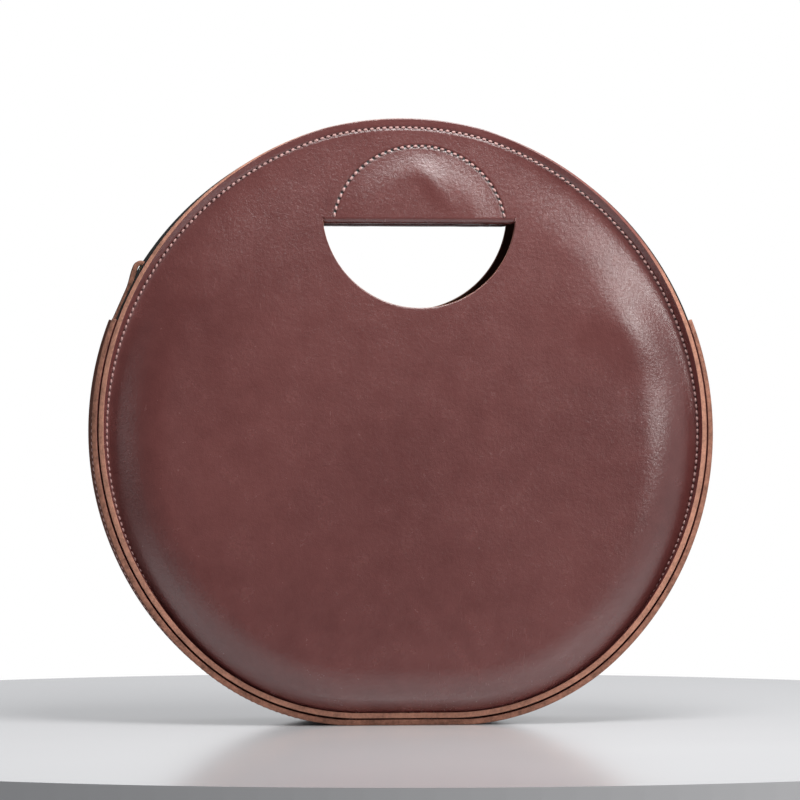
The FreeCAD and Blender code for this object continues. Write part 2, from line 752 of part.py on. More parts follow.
def leather_pull(label):
    body = new_body(label)
    outline = new_sketch(body, "strip_outline", "XZ_Plane")
    eye = "(Sizes.bail_bar * sqrt(2) / 2 + Sizes.run_clearance)"
    head = "(%s + Sizes.pull_leather)" % eye
    tail = "Sizes.pull_leather"
    head_turn = sketch_half_turn(outline, head)
    sketch_tail(outline, head_turn, [("Sizes.pull_neck", tail), ("Sizes.pull_length", tail)])
    eye_turn = sketch_half_turn(outline, eye)
    sketch_tail(outline, eye_turn, [("Sizes.pull_slit", None)])
    pad(body, outline, "strip", "Sizes.pull_width")
    lift = math.radians(size("bail_lift"))
    body.Placement = on_zip(
        closed_angle,
        along=size("bail_reach") * math.cos(lift),
        above=pivot_above + size("bail_reach") * math.sin(lift),
        tilt=-size("pull_droop"),
    )
    return body


parts.append(leather_pull("leather_pull"))


# The half moon of thread that holds the flap behind each grip
def grip_thread(label, frame):
    body = new_body(label)
    outline = new_sketch(body, label + "_outline", "XZ_Plane")
    half = "Sizes.thread_width / 2"
    low = "Sizes.thread_lift"
    add_outline(outline, box_corners(
        "Sizes.grip_stitch_radius - " + half, "Sizes.grip_stitch_radius + " + half,
        low, low + " + Sizes.thread_height",
    ))
    revolve(body, outline, label + "_arc", "Sizes.grip_stitch_span")
    body.Placement = frame
    return body


upright = FreeCAD.Placement(
    FreeCAD.Vector(0, size("grip_stitch_rise") - size("grip_stitch_radius"), 0),
    FreeCAD.Rotation(FreeCAD.Vector(0, 0, 1), 90),
)
about = FreeCAD.Placement(
    FreeCAD.Vector(2 * size("grip_offset"), 0, 0), FreeCAD.Rotation(FreeCAD.Vector(0, 0, 1), 180)
)
parts.append(grip_thread("front_grip_thread", grip_frame.multiply(upright)))
parts.append(grip_thread("back_grip_thread", about.multiply(grip_frame).multiply(upright)))


# Check and write
doc.recompute()
for item in doc.Objects:
    for state in item.State:
        if state in ("Invalid", "Error"):
            raise RuntimeError("%s did not build" % item.Label)
for item in parts:
    if item.Shape.isNull() or not item.Shape.isValid():
        raise RuntimeError("%s has no valid shape" % item.Label)
os.makedirs("parts", exist_ok=True)
for item in parts:
    item.Shape.exportStep("parts/%s.step" % item.Label)
    print(item.Label, len(item.Shape.Solids), round(item.Shape.Volume, 1))
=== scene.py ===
import math

import bpy
import numpy as np
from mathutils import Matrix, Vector


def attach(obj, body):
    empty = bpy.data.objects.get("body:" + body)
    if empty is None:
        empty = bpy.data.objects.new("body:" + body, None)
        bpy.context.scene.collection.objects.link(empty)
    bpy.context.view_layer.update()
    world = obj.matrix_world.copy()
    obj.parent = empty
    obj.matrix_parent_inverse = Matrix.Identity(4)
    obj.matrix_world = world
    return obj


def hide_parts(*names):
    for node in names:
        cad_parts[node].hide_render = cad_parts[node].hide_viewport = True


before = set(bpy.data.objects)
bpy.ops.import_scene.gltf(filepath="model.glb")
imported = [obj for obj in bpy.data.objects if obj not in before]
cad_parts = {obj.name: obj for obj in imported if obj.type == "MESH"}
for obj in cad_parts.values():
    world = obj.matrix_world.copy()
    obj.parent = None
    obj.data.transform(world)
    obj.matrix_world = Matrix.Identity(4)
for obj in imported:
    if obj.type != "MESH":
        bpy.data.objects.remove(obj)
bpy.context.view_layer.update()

# A round leather handbag, dressed over its frame. Lengths are in metres.
# X runs to the right, Y to the back and Z up. The origin is on the table under the middle of the bag.

bl_info = {
    "name": "Round leather handbag",
    "version": (1, 0, 0),
    "blender": (4, 5, 0),
    "location": "3D View > Sidebar > Handbag",
    "description": "Builds the leather, thread and zip of a round handbag, with a plain stage",
    "category": "Object",
}

MM = 0.001


def colour_from(red, green, blue):
    """A display colour, 0 to 255, as the linear colour that shaders use."""
    linear = []
    for value in (red, green, blue):
        share = value / 255
        linear.append(share / 12.92 if share <= 0.04045 else ((share + 0.055) / 1.055) ** 2.4)
    return tuple(linear) + (1.0,)


# Sizes and colours that a user may change

def length(name, description, millimetres):
    return bpy.props.FloatProperty(
        name=name, description=description, default=millimetres * MM, unit="LENGTH", precision=5
    )


def angle(name, description, degrees):
    return bpy.props.FloatProperty(
        name=name, description=description, default=math.radians(degrees), subtype="ANGLE"
    )


def colour(name, description, red, green, blue):
    return bpy.props.FloatVectorProperty(
        name=name, description=description, default=colour_from(red, green, blue), subtype="COLOR", size=4
    )


class BagSizes(bpy.types.PropertyGroup):
    """Sizes of the leather, the seams and the zip."""

    disc_radius: length("Disc radius", "Radius of a panel's round outline", 152.5)
    centre_height: length("Centre height", "Height of the disc's middle above the table", 143)
    heel_radius: length("Heel radius", "Radius of the outline beside the flat foot", 120)
    foot_flat: length("Foot flat", "How far the seam line lies below the table, pressed flat", 0.3)
    leather: length("Leather", "Thickness of the leather", 2.8)
    glue_line: length("Glue line", "Gap between the two leathers of a seam", 0.8)
    seam_allowance: length("Seam allowance", "Width of the turned-out edge", 7)
    stitch_inset: length("Stitch inset", "Distance of the stitches from the raw edge", 4.6)
    zip_half_gap: length("Zip half gap", "Half the gap between the seams at the zip", 12)
    gusset_half_width: length("Gusset half width", "Half the gap between the seams at the foot", 25)
    gusset_end: angle("Gusset end", "How far up each side the gusset reaches", 21)
    gusset_bend: length("Gusset bend", "Size of the gusset's rounded corners", 4)
    flange_start: angle("Flange start", "How far up each side the flanges begin to turn forwards", 75)
    flange_shift: length("Flange shift", "How far a turned flange moves to its panel's side", 2.5)
    belly_depth: length("Belly depth", "Depth of the leaning face at its lowest, from the middle", 38)
    face_inset: length("Face inset", "Width of the curved rim around the flat face", 37)
    foot_inset: length("Foot inset", "Width of that curved rim at the foot", 21)
    grip_height: length("Grip height", "Height of the fold above the disc's middle", 101)
    grip_offset: length("Grip offset", "How far the hand hole stands to the right", 7.5)
    hole_radius: length("Hole radius", "Radius of the hand hole's round side", 47.5)
    hole_depth: length("Hole depth", "Depth of the hand hole below the fold", 41.5)
    fold_gap: length("Fold gap", "Gap inside the folded leather", 0.6)
    grip_stitch_radius: length("Grip stitch radius", "Radius of the half moon of stitches", 42.5)
    grip_stitch_rise: length("Grip stitch rise", "Height of that half moon above the fold", 38.2)
    grip_stitch_span: angle("Grip stitch span", "Angle that the half moon covers", 157)
    grip_puff: length("Grip puff", "How far the doubled leather of the grip swells", 1.4)
    stitch_pitch: length("Stitch pitch", "Distance from one stitch to the next", 3.2)
    stitch_length: length("Stitch length", "Length of one stitch", 2.1)
    stitch_width: length("Stitch width", "Width of one stitch", 1.35)
    stitch_groove: length("Stitch groove", "Depth that the thread pulls into the leather", 0.45)
    needle_hole: length("Needle hole", "Radius of the holes between the stitches", 0.95)
    edge_round: length("Edge round", "Rounding of the raw edges", 0.4)
    tape_thickness: length("Tape thickness", "Thickness of the woven zip tape", 0.7)
    tape_edge: length("Tape edge", "How far the tape stays inside the raw edge", 0.6)
    row_half_width: length("Row half width", "Distance of the tape's inner edge from the middle", 2.6)
    closed_angle: angle("Closed angle", "Place of the slider when the zip is closed", 146)
    bail_reach: length("Bail reach", "Distance between the bail's two bars", 7.5)
    bail_lift: angle("Bail lift", "Angle of the bail above the zip", 40)
    bail_height: length("Bail height", "Height of the bail's near bar above the tape", 4.19)
    pull_leather: length("Pull leather", "Thickness of the pull's leather", 2.4)
    pull_width: length("Pull width", "Width of the pull", 8)
    pull_length: length("Pull length", "Length of the pull from the bail's bar", 34)
    pull_neck: length("Pull neck", "Length of the pull's open eye and neck", 12)
    pull_eye: length("Pull eye", "Radius of the pull's eye at the middle of its leather", 2.6)
    pull_droop: angle("Pull droop", "Angle of the pull towards the bag", 10)


class BagColours(bpy.types.PropertyGroup):
    """Colours of the leather, thread, zip and stage."""

    leather: colour("Leather", "Grain side of the leather", 90, 45, 43)
    leather_worn: colour("Worn leather", "Leather where it is rubbed or stretched", 116, 66, 63)
    raw_edge: colour("Raw edge", "Cut edge of the panels", 198, 142, 120)
    fibrous_edge: colour("Fibrous edge", "Cut edge of the gusset", 172, 120, 100)
    flesh: colour("Flesh side", "Inner side of the leather", 104, 66, 56)
    thread: colour("Thread", "Waxed thread of the seams", 188, 147, 142)
    tape: colour("Tape", "Woven tape of the zip", 26, 23, 23)
    brass: colour("Brass", "Aged brass of the zip", 166, 132, 80)
    floor: colour("Floor", "Plain floor under the bag", 228, 228, 230)


# The outline and the seam

class Outline:
    """The outline of a panel: a circle that flattens, by a heel at each side, into a straight foot."""

    def __init__(self, sizes):
        self.radius = sizes.disc_radius
        self.height = sizes.centre_height
        self.heel = sizes.heel_radius
        self.floor = -sizes.foot_flat
        drop = self.height - self.floor - self.heel
        self.heel_x = math.sqrt((self.radius - self.heel) ** 2 - drop ** 2)
        self.heel_z = self.floor + self.heel
        self.heel_angle = math.atan2(self.heel_z - self.height, self.heel_x)
        self.heel_end = self.heel_x + self.heel * (self.heel_angle + math.pi / 2)
        self.half = self.heel_end + self.radius * (math.pi / 2 - self.heel_angle)
        self.length = 2 * self.half

    def at(self, way):
        """Points and outward normals at distances round the rim, from the middle of the foot by the right."""
        way = np.mod(way, self.length)
        sign = np.where(way > self.half, -1.0, 1.0)
        run = np.where(way > self.half, self.length - way, way)
        on_side = run > self.heel_end
        on_heel = run > self.heel_x
        side_turn = self.heel_angle + (run - self.heel_end) / self.radius
        heel_turn = -math.pi / 2 + (run - self.heel_x) / self.heel
        turn = np.where(on_side, side_turn, np.where(on_heel, heel_turn, -math.pi / 2))
        x = np.where(on_heel, self.heel_x + self.heel * np.cos(turn), run)
        z = np.where(on_heel, self.heel_z + self.heel * np.sin(turn), self.floor)
        x = np.where(on_side, self.radius * np.cos(turn), x)
        z = np.where(on_side, self.height + self.radius * np.sin(turn), z)
        return sign * x, z, sign * np.cos(turn), np.sin(turn)

    def way_at(self, turn):
        """The distance round the rim, on the right, where the circle's normal has this angle."""
        return self.heel_end + self.radius * (turn - self.heel_angle)

    def inside(self, x, z):
        """Distance of points from the rim, negative inside, and the normal at their nearest rim point."""
        sign = np.where(x < 0, -1.0, 1.0)
        across = np.abs(x)
        turn = np.arctan2(z - self.height, across)
        on_side = turn > self.heel_angle
        on_heel = across > self.heel_x
        heel_turn = np.arctan2(z - self.heel_z, across - self.heel_x)
        past_heel = np.hypot(across - self.heel_x, z - self.heel_z) - self.heel
        distance = np.where(on_heel, past_heel, self.floor - z)
        distance = np.where(on_side, np.hypot(across, z - self.height) - self.radius, distance)
        turn = np.where(on_side, turn, np.where(on_heel, heel_turn, -math.pi / 2))
        return distance, sign * np.cos(turn), np.sin(turn)


# The flanges turn from outwards at the top to forwards at the foot, quickly at first
FLANGE_TURN = 2.2
FLANGE_SHARE = 0.3
GUSSET_ROUND = 1.66
# How firmly a panel leaves its seam, at the top and more so below, and meets its flat face, in rim widths
PANEL_LEAVING = 0.27
PANEL_LOWER_LEAVING = 0.24
PANEL_MEETING = 1.25
# Where on the rim's curve the search for a point begins, and how often it halves what is left
SEARCH_START = 0.2
SEARCH_STEPS = 40


def share_down(start, up):
    """How far each rim point lies from the angle start, 0, down to the foot, 1."""
    return np.clip((start - up) / (start + math.pi / 2), 0, None)


def eased_turn(start, up):
    """A turn that begins at the angle start and is a quarter turn at the foot."""
    return math.pi / 2 * (1 - (1 - share_down(start, up)) ** FLANGE_TURN)


class Seam:
    """How the seam lies at rim points with the given normals: u runs outwards and d to the panel's side."""

    def __init__(self, sizes, normal_z):
        up = np.arcsin(np.clip(normal_z, -1, 1))
        turn = eased_turn(sizes.flange_start, up)
        self.along_u = np.cos(turn)
        self.along_d = np.sin(turn)
        self.half_glue = sizes.glue_line / 2
        out = sizes.seam_allowance * self.along_u + (self.half_glue + sizes.leather) * self.along_d
        self.u = -out
        share = share_down(sizes.gusset_end, up)
        self.low = share * share * (3 - 2 * share)
        widening = sizes.gusset_half_width - sizes.zip_half_gap - sizes.flange_shift
        self.d = sizes.zip_half_gap + sizes.flange_shift * self.along_d + self.low * widening
        web_turn = eased_turn(sizes.gusset_end, up)
        sunk = (1 - FLANGE_SHARE) * sizes.seam_allowance + sizes.gusset_bend
        self.web_u = -sunk * np.cos(web_turn) - sizes.leather / 2 * np.sin(web_turn)

    def flange(self, reach, offset):
        """A point of the flange, by its distance past the seam and its offset to the panel's side."""
        u = self.u + reach * self.along_u - offset * self.along_d
        d = self.d + reach * self.along_d + offset * self.along_u
        return u, d


def hermite(start, start_way, end, end_way, s):
    """Points of a smooth curve from start to end, one coordinate at a time."""
    a = 2 * s ** 3 - 3 * s ** 2 + 1
    b = s ** 3 - 2 * s ** 2 + s
    c = -2 * s ** 3 + 3 * s ** 2
    d = s ** 3 - s ** 2
    return a * start + b * start_way + c * end + d * end_way


class Panel:
    """The middle surface of a panel's leather, as depth from the middle of the bag."""

    def __init__(self, sizes):
        self.sizes = sizes
        self.outline = Outline(sizes)
        self.top = sizes.centre_height + sizes.disc_radius - sizes.seam_allowance
        self.lean = (sizes.belly_depth - sizes.zip_half_gap) / (self.top - sizes.face_inset)
        self.lean_factor = math.hypot(1, self.lean)
        self.half = sizes.leather / 2
        self.fold_radius = sizes.leather + sizes.fold_gap / 2
        self.grip_z = sizes.centre_height + sizes.grip_height

    def face_depth(self, z):
        """Depth of the leaning face's middle surface."""
        return self.sizes.zip_half_gap + self.lean * (self.top - z) + self.half * self.lean_factor

    def inset(self, normal_z):
        """Width of the curved rim between the outline and the flat face."""
        narrowing = self.sizes.face_inset - self.sizes.foot_inset
        return self.sizes.face_inset - narrowing * Seam(self.sizes, normal_z).low

    def rim_curve(self, z, normal_z, s):
        """Points (u, d) of the curve from the seam's bend, at s = 0, to the flat face, at s = 1."""
        sizes = self.sizes
        seam = Seam(sizes, normal_z)
        bend_u, bend_d = seam.flange(sizes.seam_allowance * FLANGE_SHARE, seam.half_glue + self.half)
        inset = self.inset(normal_z)
        end_d = self.face_depth(z - inset * normal_z)
        meeting = PANEL_MEETING * inset / self.lean_factor
        leaving = (PANEL_LEAVING + PANEL_LOWER_LEAVING * seam.along_d) * inset
        u = hermite(bend_u, -leaving * seam.along_u, -inset, -meeting, s)
        d = hermite(bend_d, -leaving * seam.along_d, end_d, meeting * self.lean * normal_z, s)
        return u, d

    def depth(self, x, z):
        """Depth of the middle surface at points well inside the seam."""
        inside, normal_x, normal_z = self.outline.inside(x, z)
        rim_z = z - inside * normal_z
        low = np.full_like(inside, SEARCH_START)
        high = np.ones_like(inside)
        for step in range(SEARCH_STEPS):
            middle = (low + high) / 2
            u, d = self.rim_curve(rim_z, normal_z, middle)
            outer = u > inside
            low = np.where(outer, middle, low)
            high = np.where(outer, high, middle)
        u, d = self.rim_curve(rim_z, normal_z, high)
        return np.where(inside < -self.inset(normal_z), self.face_depth(z), d)

    def to_face(self, x, z):
        """Places on the grip's own frame: across it and up the leaning face from the fold."""
        return x - self.sizes.grip_offset, (z - self.grip_z) * self.lean_factor + self.half * self.lean

    def from_face(self, across, up, out):
        """A point of the grip's frame as x, depth and z; out is measured from the grain side."""
        x = self.sizes.grip_offset + across
        z = self.grip_z + (up + out * self.lean) / self.lean_factor
        grain = self.face_depth(self.grip_z) + self.half * self.lean_factor
        depth = grain + (out - up * self.lean) / self.lean_factor
        return x, depth, z

    def grip_ring(self, across, up):
        """Distance inside the half moon of stitches, negative outside it."""
        centre = self.sizes.grip_stitch_rise - self.sizes.grip_stitch_radius
        return self.sizes.grip_stitch_radius - np.hypot(across, up - centre)


def ease_in(value, width):
    """Rises smoothly from 0 to 1 as value goes from 0 to width."""
    share = np.clip(value / width, 0, 1)
    return share * share * (3 - 2 * share)


# Soft places where the leather stands out or falls in: across, height, half widths, turn in degrees, how far
FRONT_SWELLS = (
    (116, 192, 32, 15, -15, 1.9),
    (128, 160, 30, 20, 0, -1.0),
    (14, 264, 13, 5, -52, 0.8),
    (-75, 214, 40, 26, 30, 0.8),
    (20, 70, 90, 45, 0, 1.2),
    (-105, 130, 22, 60, 0, -0.8),
)
BACK_SWELLS = (
    (-110, 198, 44, 20, 25, 2.0),
    (10, 75, 90, 45, 0, 1.4),
)


def swell(x, z, places):
    """How far the leather stands out of its plain form."""
    total = np.zeros_like(x)
    for across, height, wide, tall, degrees, rise in places:
        turn = math.radians(degrees)
        dx = x - across * MM
        dz = z - height * MM
        along = dx * math.cos(turn) + dz * math.sin(turn)
        aside = dz * math.cos(turn) - dx * math.sin(turn)
        total += rise * MM * np.exp(-(along / (wide * MM)) ** 2 - (aside / (tall * MM)) ** 2)
    return total


# Meshes
SHARP_EDGE = math.radians(60)
SMOOTH_EDGE = math.radians(50)


def new_mesh(name, points, faces):
    """An object at the origin from an array of points and a list of faces; repeated corners are dropped."""
    clean = []
    for face in faces:
        corners = []
        for corner in face:
            if corner not in corners:
                corners.append(corner)
        if len(corners) > 2:
            clean.append(corners)
    mesh = bpy.data.meshes.new(name)
    mesh.from_pydata([tuple(point) for point in points], [], clean)
    mesh.validate()
    piece = bpy.data.objects.new(name, mesh)
    bpy.context.scene.collection.objects.link(piece)
    return piece


def sheet_faces(row_count, column_count):
    """Faces between the rows of a sheet."""
    faces = []
    for row in range(row_count - 1):
        for column in range(column_count - 1):
            here = row * column_count + column
            there = here + column_count
            faces.append([here, here + 1, there + 1, there])
    return faces


def only(piece):
    """Makes one piece the selected and active one."""
    bpy.ops.object.select_all(action="DESELECT")
    bpy.context.view_layer.objects.active = piece
    piece.select_set(True)


def thicken(piece, thickness, rounding, materials):
    """Gives a sheet its thickness and rounds its edges; the materials are grain, cut edge and inner side."""
    only(piece)
    for name in materials:
        piece.data.materials.append(material_named(name))
    wall = piece.modifiers.new("wall", "SOLIDIFY")
    wall.thickness = thickness
    wall.offset = 0
    wall.material_offset = 2
    wall.material_offset_rim = 1
    bpy.ops.object.modifier_apply(modifier=wall.name)
    bpy.ops.object.mode_set(mode="EDIT")
    bpy.ops.mesh.select_mode(type="EDGE")
    bpy.ops.mesh.select_all(action="DESELECT")
    bpy.ops.mesh.edges_select_sharp(sharpness=SHARP_EDGE)
    bpy.ops.mesh.bevel(offset=rounding, segments=2, affect="EDGES", clamp_overlap=False)
    bpy.ops.object.mode_set(mode="OBJECT")
    bpy.ops.object.shade_smooth_by_angle(angle=SMOOTH_EDGE)


def give(piece, body, nodes):
    """Puts a finished piece on its body in place of its nodes."""
    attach(piece, body)
    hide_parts(*nodes)


# Shaders

class Wire:
    """A shader socket in an expression; each operation on values adds a Math node."""

    def __init__(self, tree, socket=None):
        self.tree = tree
        self.socket = socket

    def add(self, kind, settings, inputs, output=0):
        """Adds a node with its settings and its inputs, and gives one of its outputs."""
        node = self.tree.nodes.new(kind)
        for name, value in settings.items():
            if name == "stops":
                ramp = node.color_ramp
                while len(ramp.elements) < len(value):
                    ramp.elements.new(0.5)
                for element, (position, shade) in zip(ramp.elements, value):
                    element.position = position
                    element.color = shade
            else:
                setattr(node, name, value)
        for name, value in inputs.items():
            if isinstance(value, Wire):
                self.tree.links.new(value.socket, node.inputs[name])
            else:
                node.inputs[name].default_value = value
        return Wire(self.tree, node.outputs[output])

    def other(self, output):
        """Another output of the same node."""
        return Wire(self.tree, self.socket.node.outputs[output])

    def maths(self, operation, first, second=0.0):
        return self.add("ShaderNodeMath", {"operation": operation}, {0: first, 1: second})

    def __add__(self, other):
        return self.maths("ADD", self, other)

    def __radd__(self, other):
        return self.maths("ADD", other, self)

    def __sub__(self, other):
        return self.maths("SUBTRACT", self, other)

    def __rsub__(self, other):
        return self.maths("SUBTRACT", other, self)

    def __mul__(self, other):
        return self.maths("MULTIPLY", self, other)

    def __rmul__(self, other):
        return self.maths("MULTIPLY", other, self)


def new_material(name):
    """A material with an empty tree; gives it, a wire to build with and its Object coordinates."""
    material = bpy.data.materials.new(name)
    material.use_nodes = True
    material.node_tree.nodes.clear()
    wire = Wire(material.node_tree)
    place = wire.add("ShaderNodeTexCoord", {}, {}, "Object")
    return material, wire, place


def noise(wire, place, scale, detail=3.0, roughness=0.55):
    """Soft noise from 0 to 1 with about scale spots to a metre."""
    settings = {"noise_dimensions": "3D"}
    inputs = {"Vector": place, "Scale": scale, "Detail": detail, "Roughness": roughness}
    return wire.add("ShaderNodeTexNoise", settings, inputs)


def stretch(wire, place, low, high):
    """The value's range from low to high spread over 0 to 1 and held there."""
    settings = {"clamp": True}
    inputs = {"Value": place, "From Min": low, "From Max": high}
    return wire.add("ShaderNodeMapRange", settings, inputs)


def mix(wire, share, first, second):
    """A colour between two colours."""
    return wire.add("ShaderNodeMix", {"data_type": "RGBA"}, {0: share, 6: first, 7: second}, 2)


def bump(wire, height, strength, depth):
    return wire.add("ShaderNodeBump", {}, {"Height": height, "Strength": strength, "Distance": depth})


def surface(wire, inputs):
    """The closing shader and output of a material."""
    shader = wire.add("ShaderNodeBsdfPrincipled", {}, inputs)
    output = wire.tree.nodes.new("ShaderNodeOutputMaterial")
    wire.tree.links.new(shader.socket, output.inputs["Surface"])


# Half widths of the stitches' groove, where it is deepest and where it ends
GROOVE_CORE = 0.3 * MM
GROOVE_END = 1.5 * MM


def stitch_marks(wire):
    """How far each place lies in a needle hole and in the stitches' groove, by the leather's map; both masks
    sink the bump and also darken the colour as painted shade.
    """
    sizes = bpy.context.scene.bag_sizes
    pitch = seam_stitches(sizes)[1]
    laid = wire.add("ShaderNodeUVMap", {"uv_map": "stitching"}, {})
    along = wire.add("ShaderNodeSeparateXYZ", {}, {0: laid})
    across = along.other(1)
    off = (wire.maths("FRACT", along * (1 / pitch)) - 0.5) * pitch
    away = wire.maths("SQRT", off * off + across * across)
    hole = 1.0 - stretch(wire, away, sizes.needle_hole * 0.5, sizes.needle_hole)
    groove = 1.0 - stretch(wire, wire.maths("ABSOLUTE", across), GROOVE_CORE, GROOVE_END)
    return hole, groove


def scuff_marks(wire, place):
    """Fine scratches, mostly upright, in a few rubbed places."""
    drawn = wire.add("ShaderNodeMapping", {}, {"Vector": place, "Scale": (900, 900, 70)})
    scratches = stretch(wire, noise(wire, drawn, 1, 2), 0.6, 0.72)
    rubbed = stretch(wire, noise(wire, place, 14, 2), 0.6, 0.75)
    return scratches * rubbed


def shade(tint, share):
    """A colour made darker."""
    return tuple(channel * share for channel in tint[:3]) + (1.0,)


def grain_leather(colours):
    material, wire, place = new_material("grain leather")
    cloud = noise(wire, place, 11, 4)
    mottle = noise(wire, place, 95, 5, 0.6)
    pebble = noise(wire, place, 520, 3, 0.6)
    settings = {"feature": "DISTANCE_TO_EDGE"}
    pores = wire.add("ShaderNodeTexVoronoi", settings, {"Vector": place, "Scale": 1500})
    fine = noise(wire, place, 2600, 2)
    hole, groove = stitch_marks(wire)
    scuffs = scuff_marks(wire, place)
    worn = stretch(wire, cloud * 0.6 + mottle * 0.4, 0.36, 0.7)
    base = mix(wire, worn * 0.6, tuple(colours.leather), tuple(colours.leather_worn))
    base = mix(wire, scuffs * 0.5, base, tuple(colours.leather_worn))
    # Painted shade: the stitches' groove is darkened to half the leather's colour, for the shade that falls
    # into it.
    base = mix(wire, groove * 0.5, base, shade(colours.leather, 0.5))
    # Painted shadow: the needle holes are made almost black, for the shadow inside them.
    base = mix(wire, hole * 0.97, base, shade(colours.leather, 0.04))
    grain = pebble * 0.9 + stretch(wire, pores, 0.0, 0.25) * 0.15 + fine * 0.1 + mottle * 0.4
    surface(wire, {
        "Base Color": base,
        "Roughness": 0.21 + 0.1 * mottle + 0.1 * scuffs,
        "Specular IOR Level": 0.9,
        "Normal": bump(wire, grain - groove * 0.9 - hole * 1.6 - scuffs * 0.2, 0.5, 0.00035),
    })
    return material


# Where the cut edges turn darker and browner, towards the top right, begins and is full, across the bag and
# up it, in metres
EDGE_DARKENING_ACROSS = (-0.03, 0.03)
EDGE_DARKENING_HEIGHT = (0.215, 0.24)


def cut_edge(name, colours, tint, darkest, fibre_scale):
    """Leather cut through: pale fibres with darker patches, turned darker and browner towards the top right.
    """
    material, wire, place = new_material(name)
    fibres = noise(wire, place, fibre_scale, 6, 0.7)
    patches = noise(wire, place, 110, 3)
    share = stretch(wire, fibres * 0.65 + patches * 0.35, 0.32, 0.62)
    right = wire.add("ShaderNodeSeparateXYZ", {}, {0: place})
    # The cut edges are blended towards the worn leather's brown over the top right of the bag, by place
    # alone.
    top_right_darkening = stretch(wire, right, *EDGE_DARKENING_ACROSS) * stretch(wire, right.other(2), *EDGE_DARKENING_HEIGHT)
    base = mix(wire, share, shade(tint, darkest), tuple(tint))
    surface(wire, {
        "Base Color": mix(wire, top_right_darkening * 0.85, base, tuple(colours.leather_worn)),
        "Roughness": 0.88,
        "Specular IOR Level": 0.25,
        "Normal": bump(wire, fibres, 0.7, 0.0005),
    })
    return material


def raw_edge(colours):
    return cut_edge("raw edge", colours, colours.raw_edge, 0.45, 560)


def fibrous_edge(colours):
    return cut_edge("fibrous edge", colours, colours.fibrous_edge, 0.24, 420)


def flesh_side(colours):
    material, wire, place = new_material("flesh side")
    nap = noise(wire, place, 1400, 5, 0.7)
    patches = noise(wire, place, 60, 3)
    dark = shade(colours.flesh, 0.6)
    share = stretch(wire, nap * 0.5 + patches * 0.5, 0.3, 0.7)
    surface(wire, {
        "Base Color": mix(wire, share, dark, tuple(colours.flesh)),
        "Roughness": 0.95,
        "Specular IOR Level": 0.2,
        "Normal": bump(wire, nap, 0.6, 0.0003),
    })
    return material


def thread_material(colours):
    material, wire, place = new_material("waxed thread")
    strands = noise(wire, place, 3200, 2)
    soiling = noise(wire, place, 260, 3)
    dark = shade(colours.thread, 0.55)
    share = stretch(wire, soiling * 0.6 + strands * 0.4, 0.25, 0.6)
    surface(wire, {
        "Base Color": mix(wire, share, dark, tuple(colours.thread)),
        "Roughness": 0.6,
        "Normal": bump(wire, strands, 0.5, 0.0002),
    })
    return material


def woven_tape(colours):
    """Twill of the tape, laid along the arc and across it by the piece's own map."""
    material, wire, place = new_material("woven tape")
    weave = wire.add("ShaderNodeUVMap", {"uv_map": "weave"}, {})
    settings = {"wave_type": "BANDS", "bands_direction": "DIAGONAL"}
    ribs = wire.add("ShaderNodeTexWave", settings, {"Vector": weave, "Scale": 420.0}, 1)
    fuzz = noise(wire, place, 1800, 3)
    dark = shade(colours.tape, 0.5)
    surface(wire, {
        "Base Color": mix(wire, ribs * 0.6 + fuzz * 0.4, dark, tuple(colours.tape)),
        "Roughness": 0.85,
        "Normal": bump(wire, ribs * 0.7 + fuzz * 0.3, 0.6, 0.0003),
    })
    return material


def aged_brass(colours):
    material, wire, place = new_material("aged brass")
    tarnish = noise(wire, place, 420, 5, 0.65)
    scratches = noise(wire, place, 2400, 2)
    dark = shade(colours.brass, 0.35)
    share = stretch(wire, tarnish, 0.32, 0.62)
    surface(wire, {
        "Base Color": mix(wire, share, dark, tuple(colours.brass)),
        "Metallic": 1.0,
        "Roughness": 0.5 - 0.2 * share,
        "Normal": bump(wire, scratches, 0.15, 0.0001),
    })
    return material


def plain_floor(colours):
    material, wire, place = new_material("plain floor")
    cloud = noise(wire, place, 3, 2)
    light = tuple(colours.floor)
    base = mix(wire, cloud, shade(light, 0.97), light)
    surface(wire, {"Base Color": base, "Roughness": 0.1 + 0.06 * cloud})
    return material


MAKERS = {
    "grain leather": grain_leather,
    "raw edge": raw_edge,
    "fibrous edge": fibrous_edge,
    "flesh side": flesh_side,
    "waxed thread": thread_material,
    "woven tape": woven_tape,
    "aged brass": aged_brass,
    "plain floor": plain_floor,
}


def material_named(name):
    """The material of that name, made the first time that it is asked for."""
    found = bpy.data.materials.get(name)
    return found or MAKERS[name](bpy.context.scene.bag_colours)


PANEL_MATERIALS = ("grain leather", "raw edge", "flesh side")
GUSSET_MATERIALS = ("grain leather", "fibrous edge", "flesh side")


# The panels
TOP_RAYS = 170
LOWER_RAYS = 300
FLANGE_ROWS = 9
RIM_ROWS = 38
FACE_ROWS = 36
FOLD_ROWS = 24
RIM_END = 0.72
# Powers that crowd the rows towards the seam, the hand hole and the fold
RIM_CROWDING = 1.5
FACE_CROWDING = 1.4
FOLD_CROWDING = 1.6
# Points of the rim that are tried to place the rays, and where in the hole's depth the rays meet
RIM_SAMPLES = 6000
RAY_MEETING = 0.36
# Distances over which the swells and the grip's puff rise, and the slack at the fold's start
SWELL_EASE = 30 * MM
GRIP_EASE = 16 * MM
FOLD_SLACK = 1 * MM
GROOVE_WIDTH = 0.7 * MM
# How far past its last stitch a half moon counts as sewn, in stitches
END_STITCH = 0.6


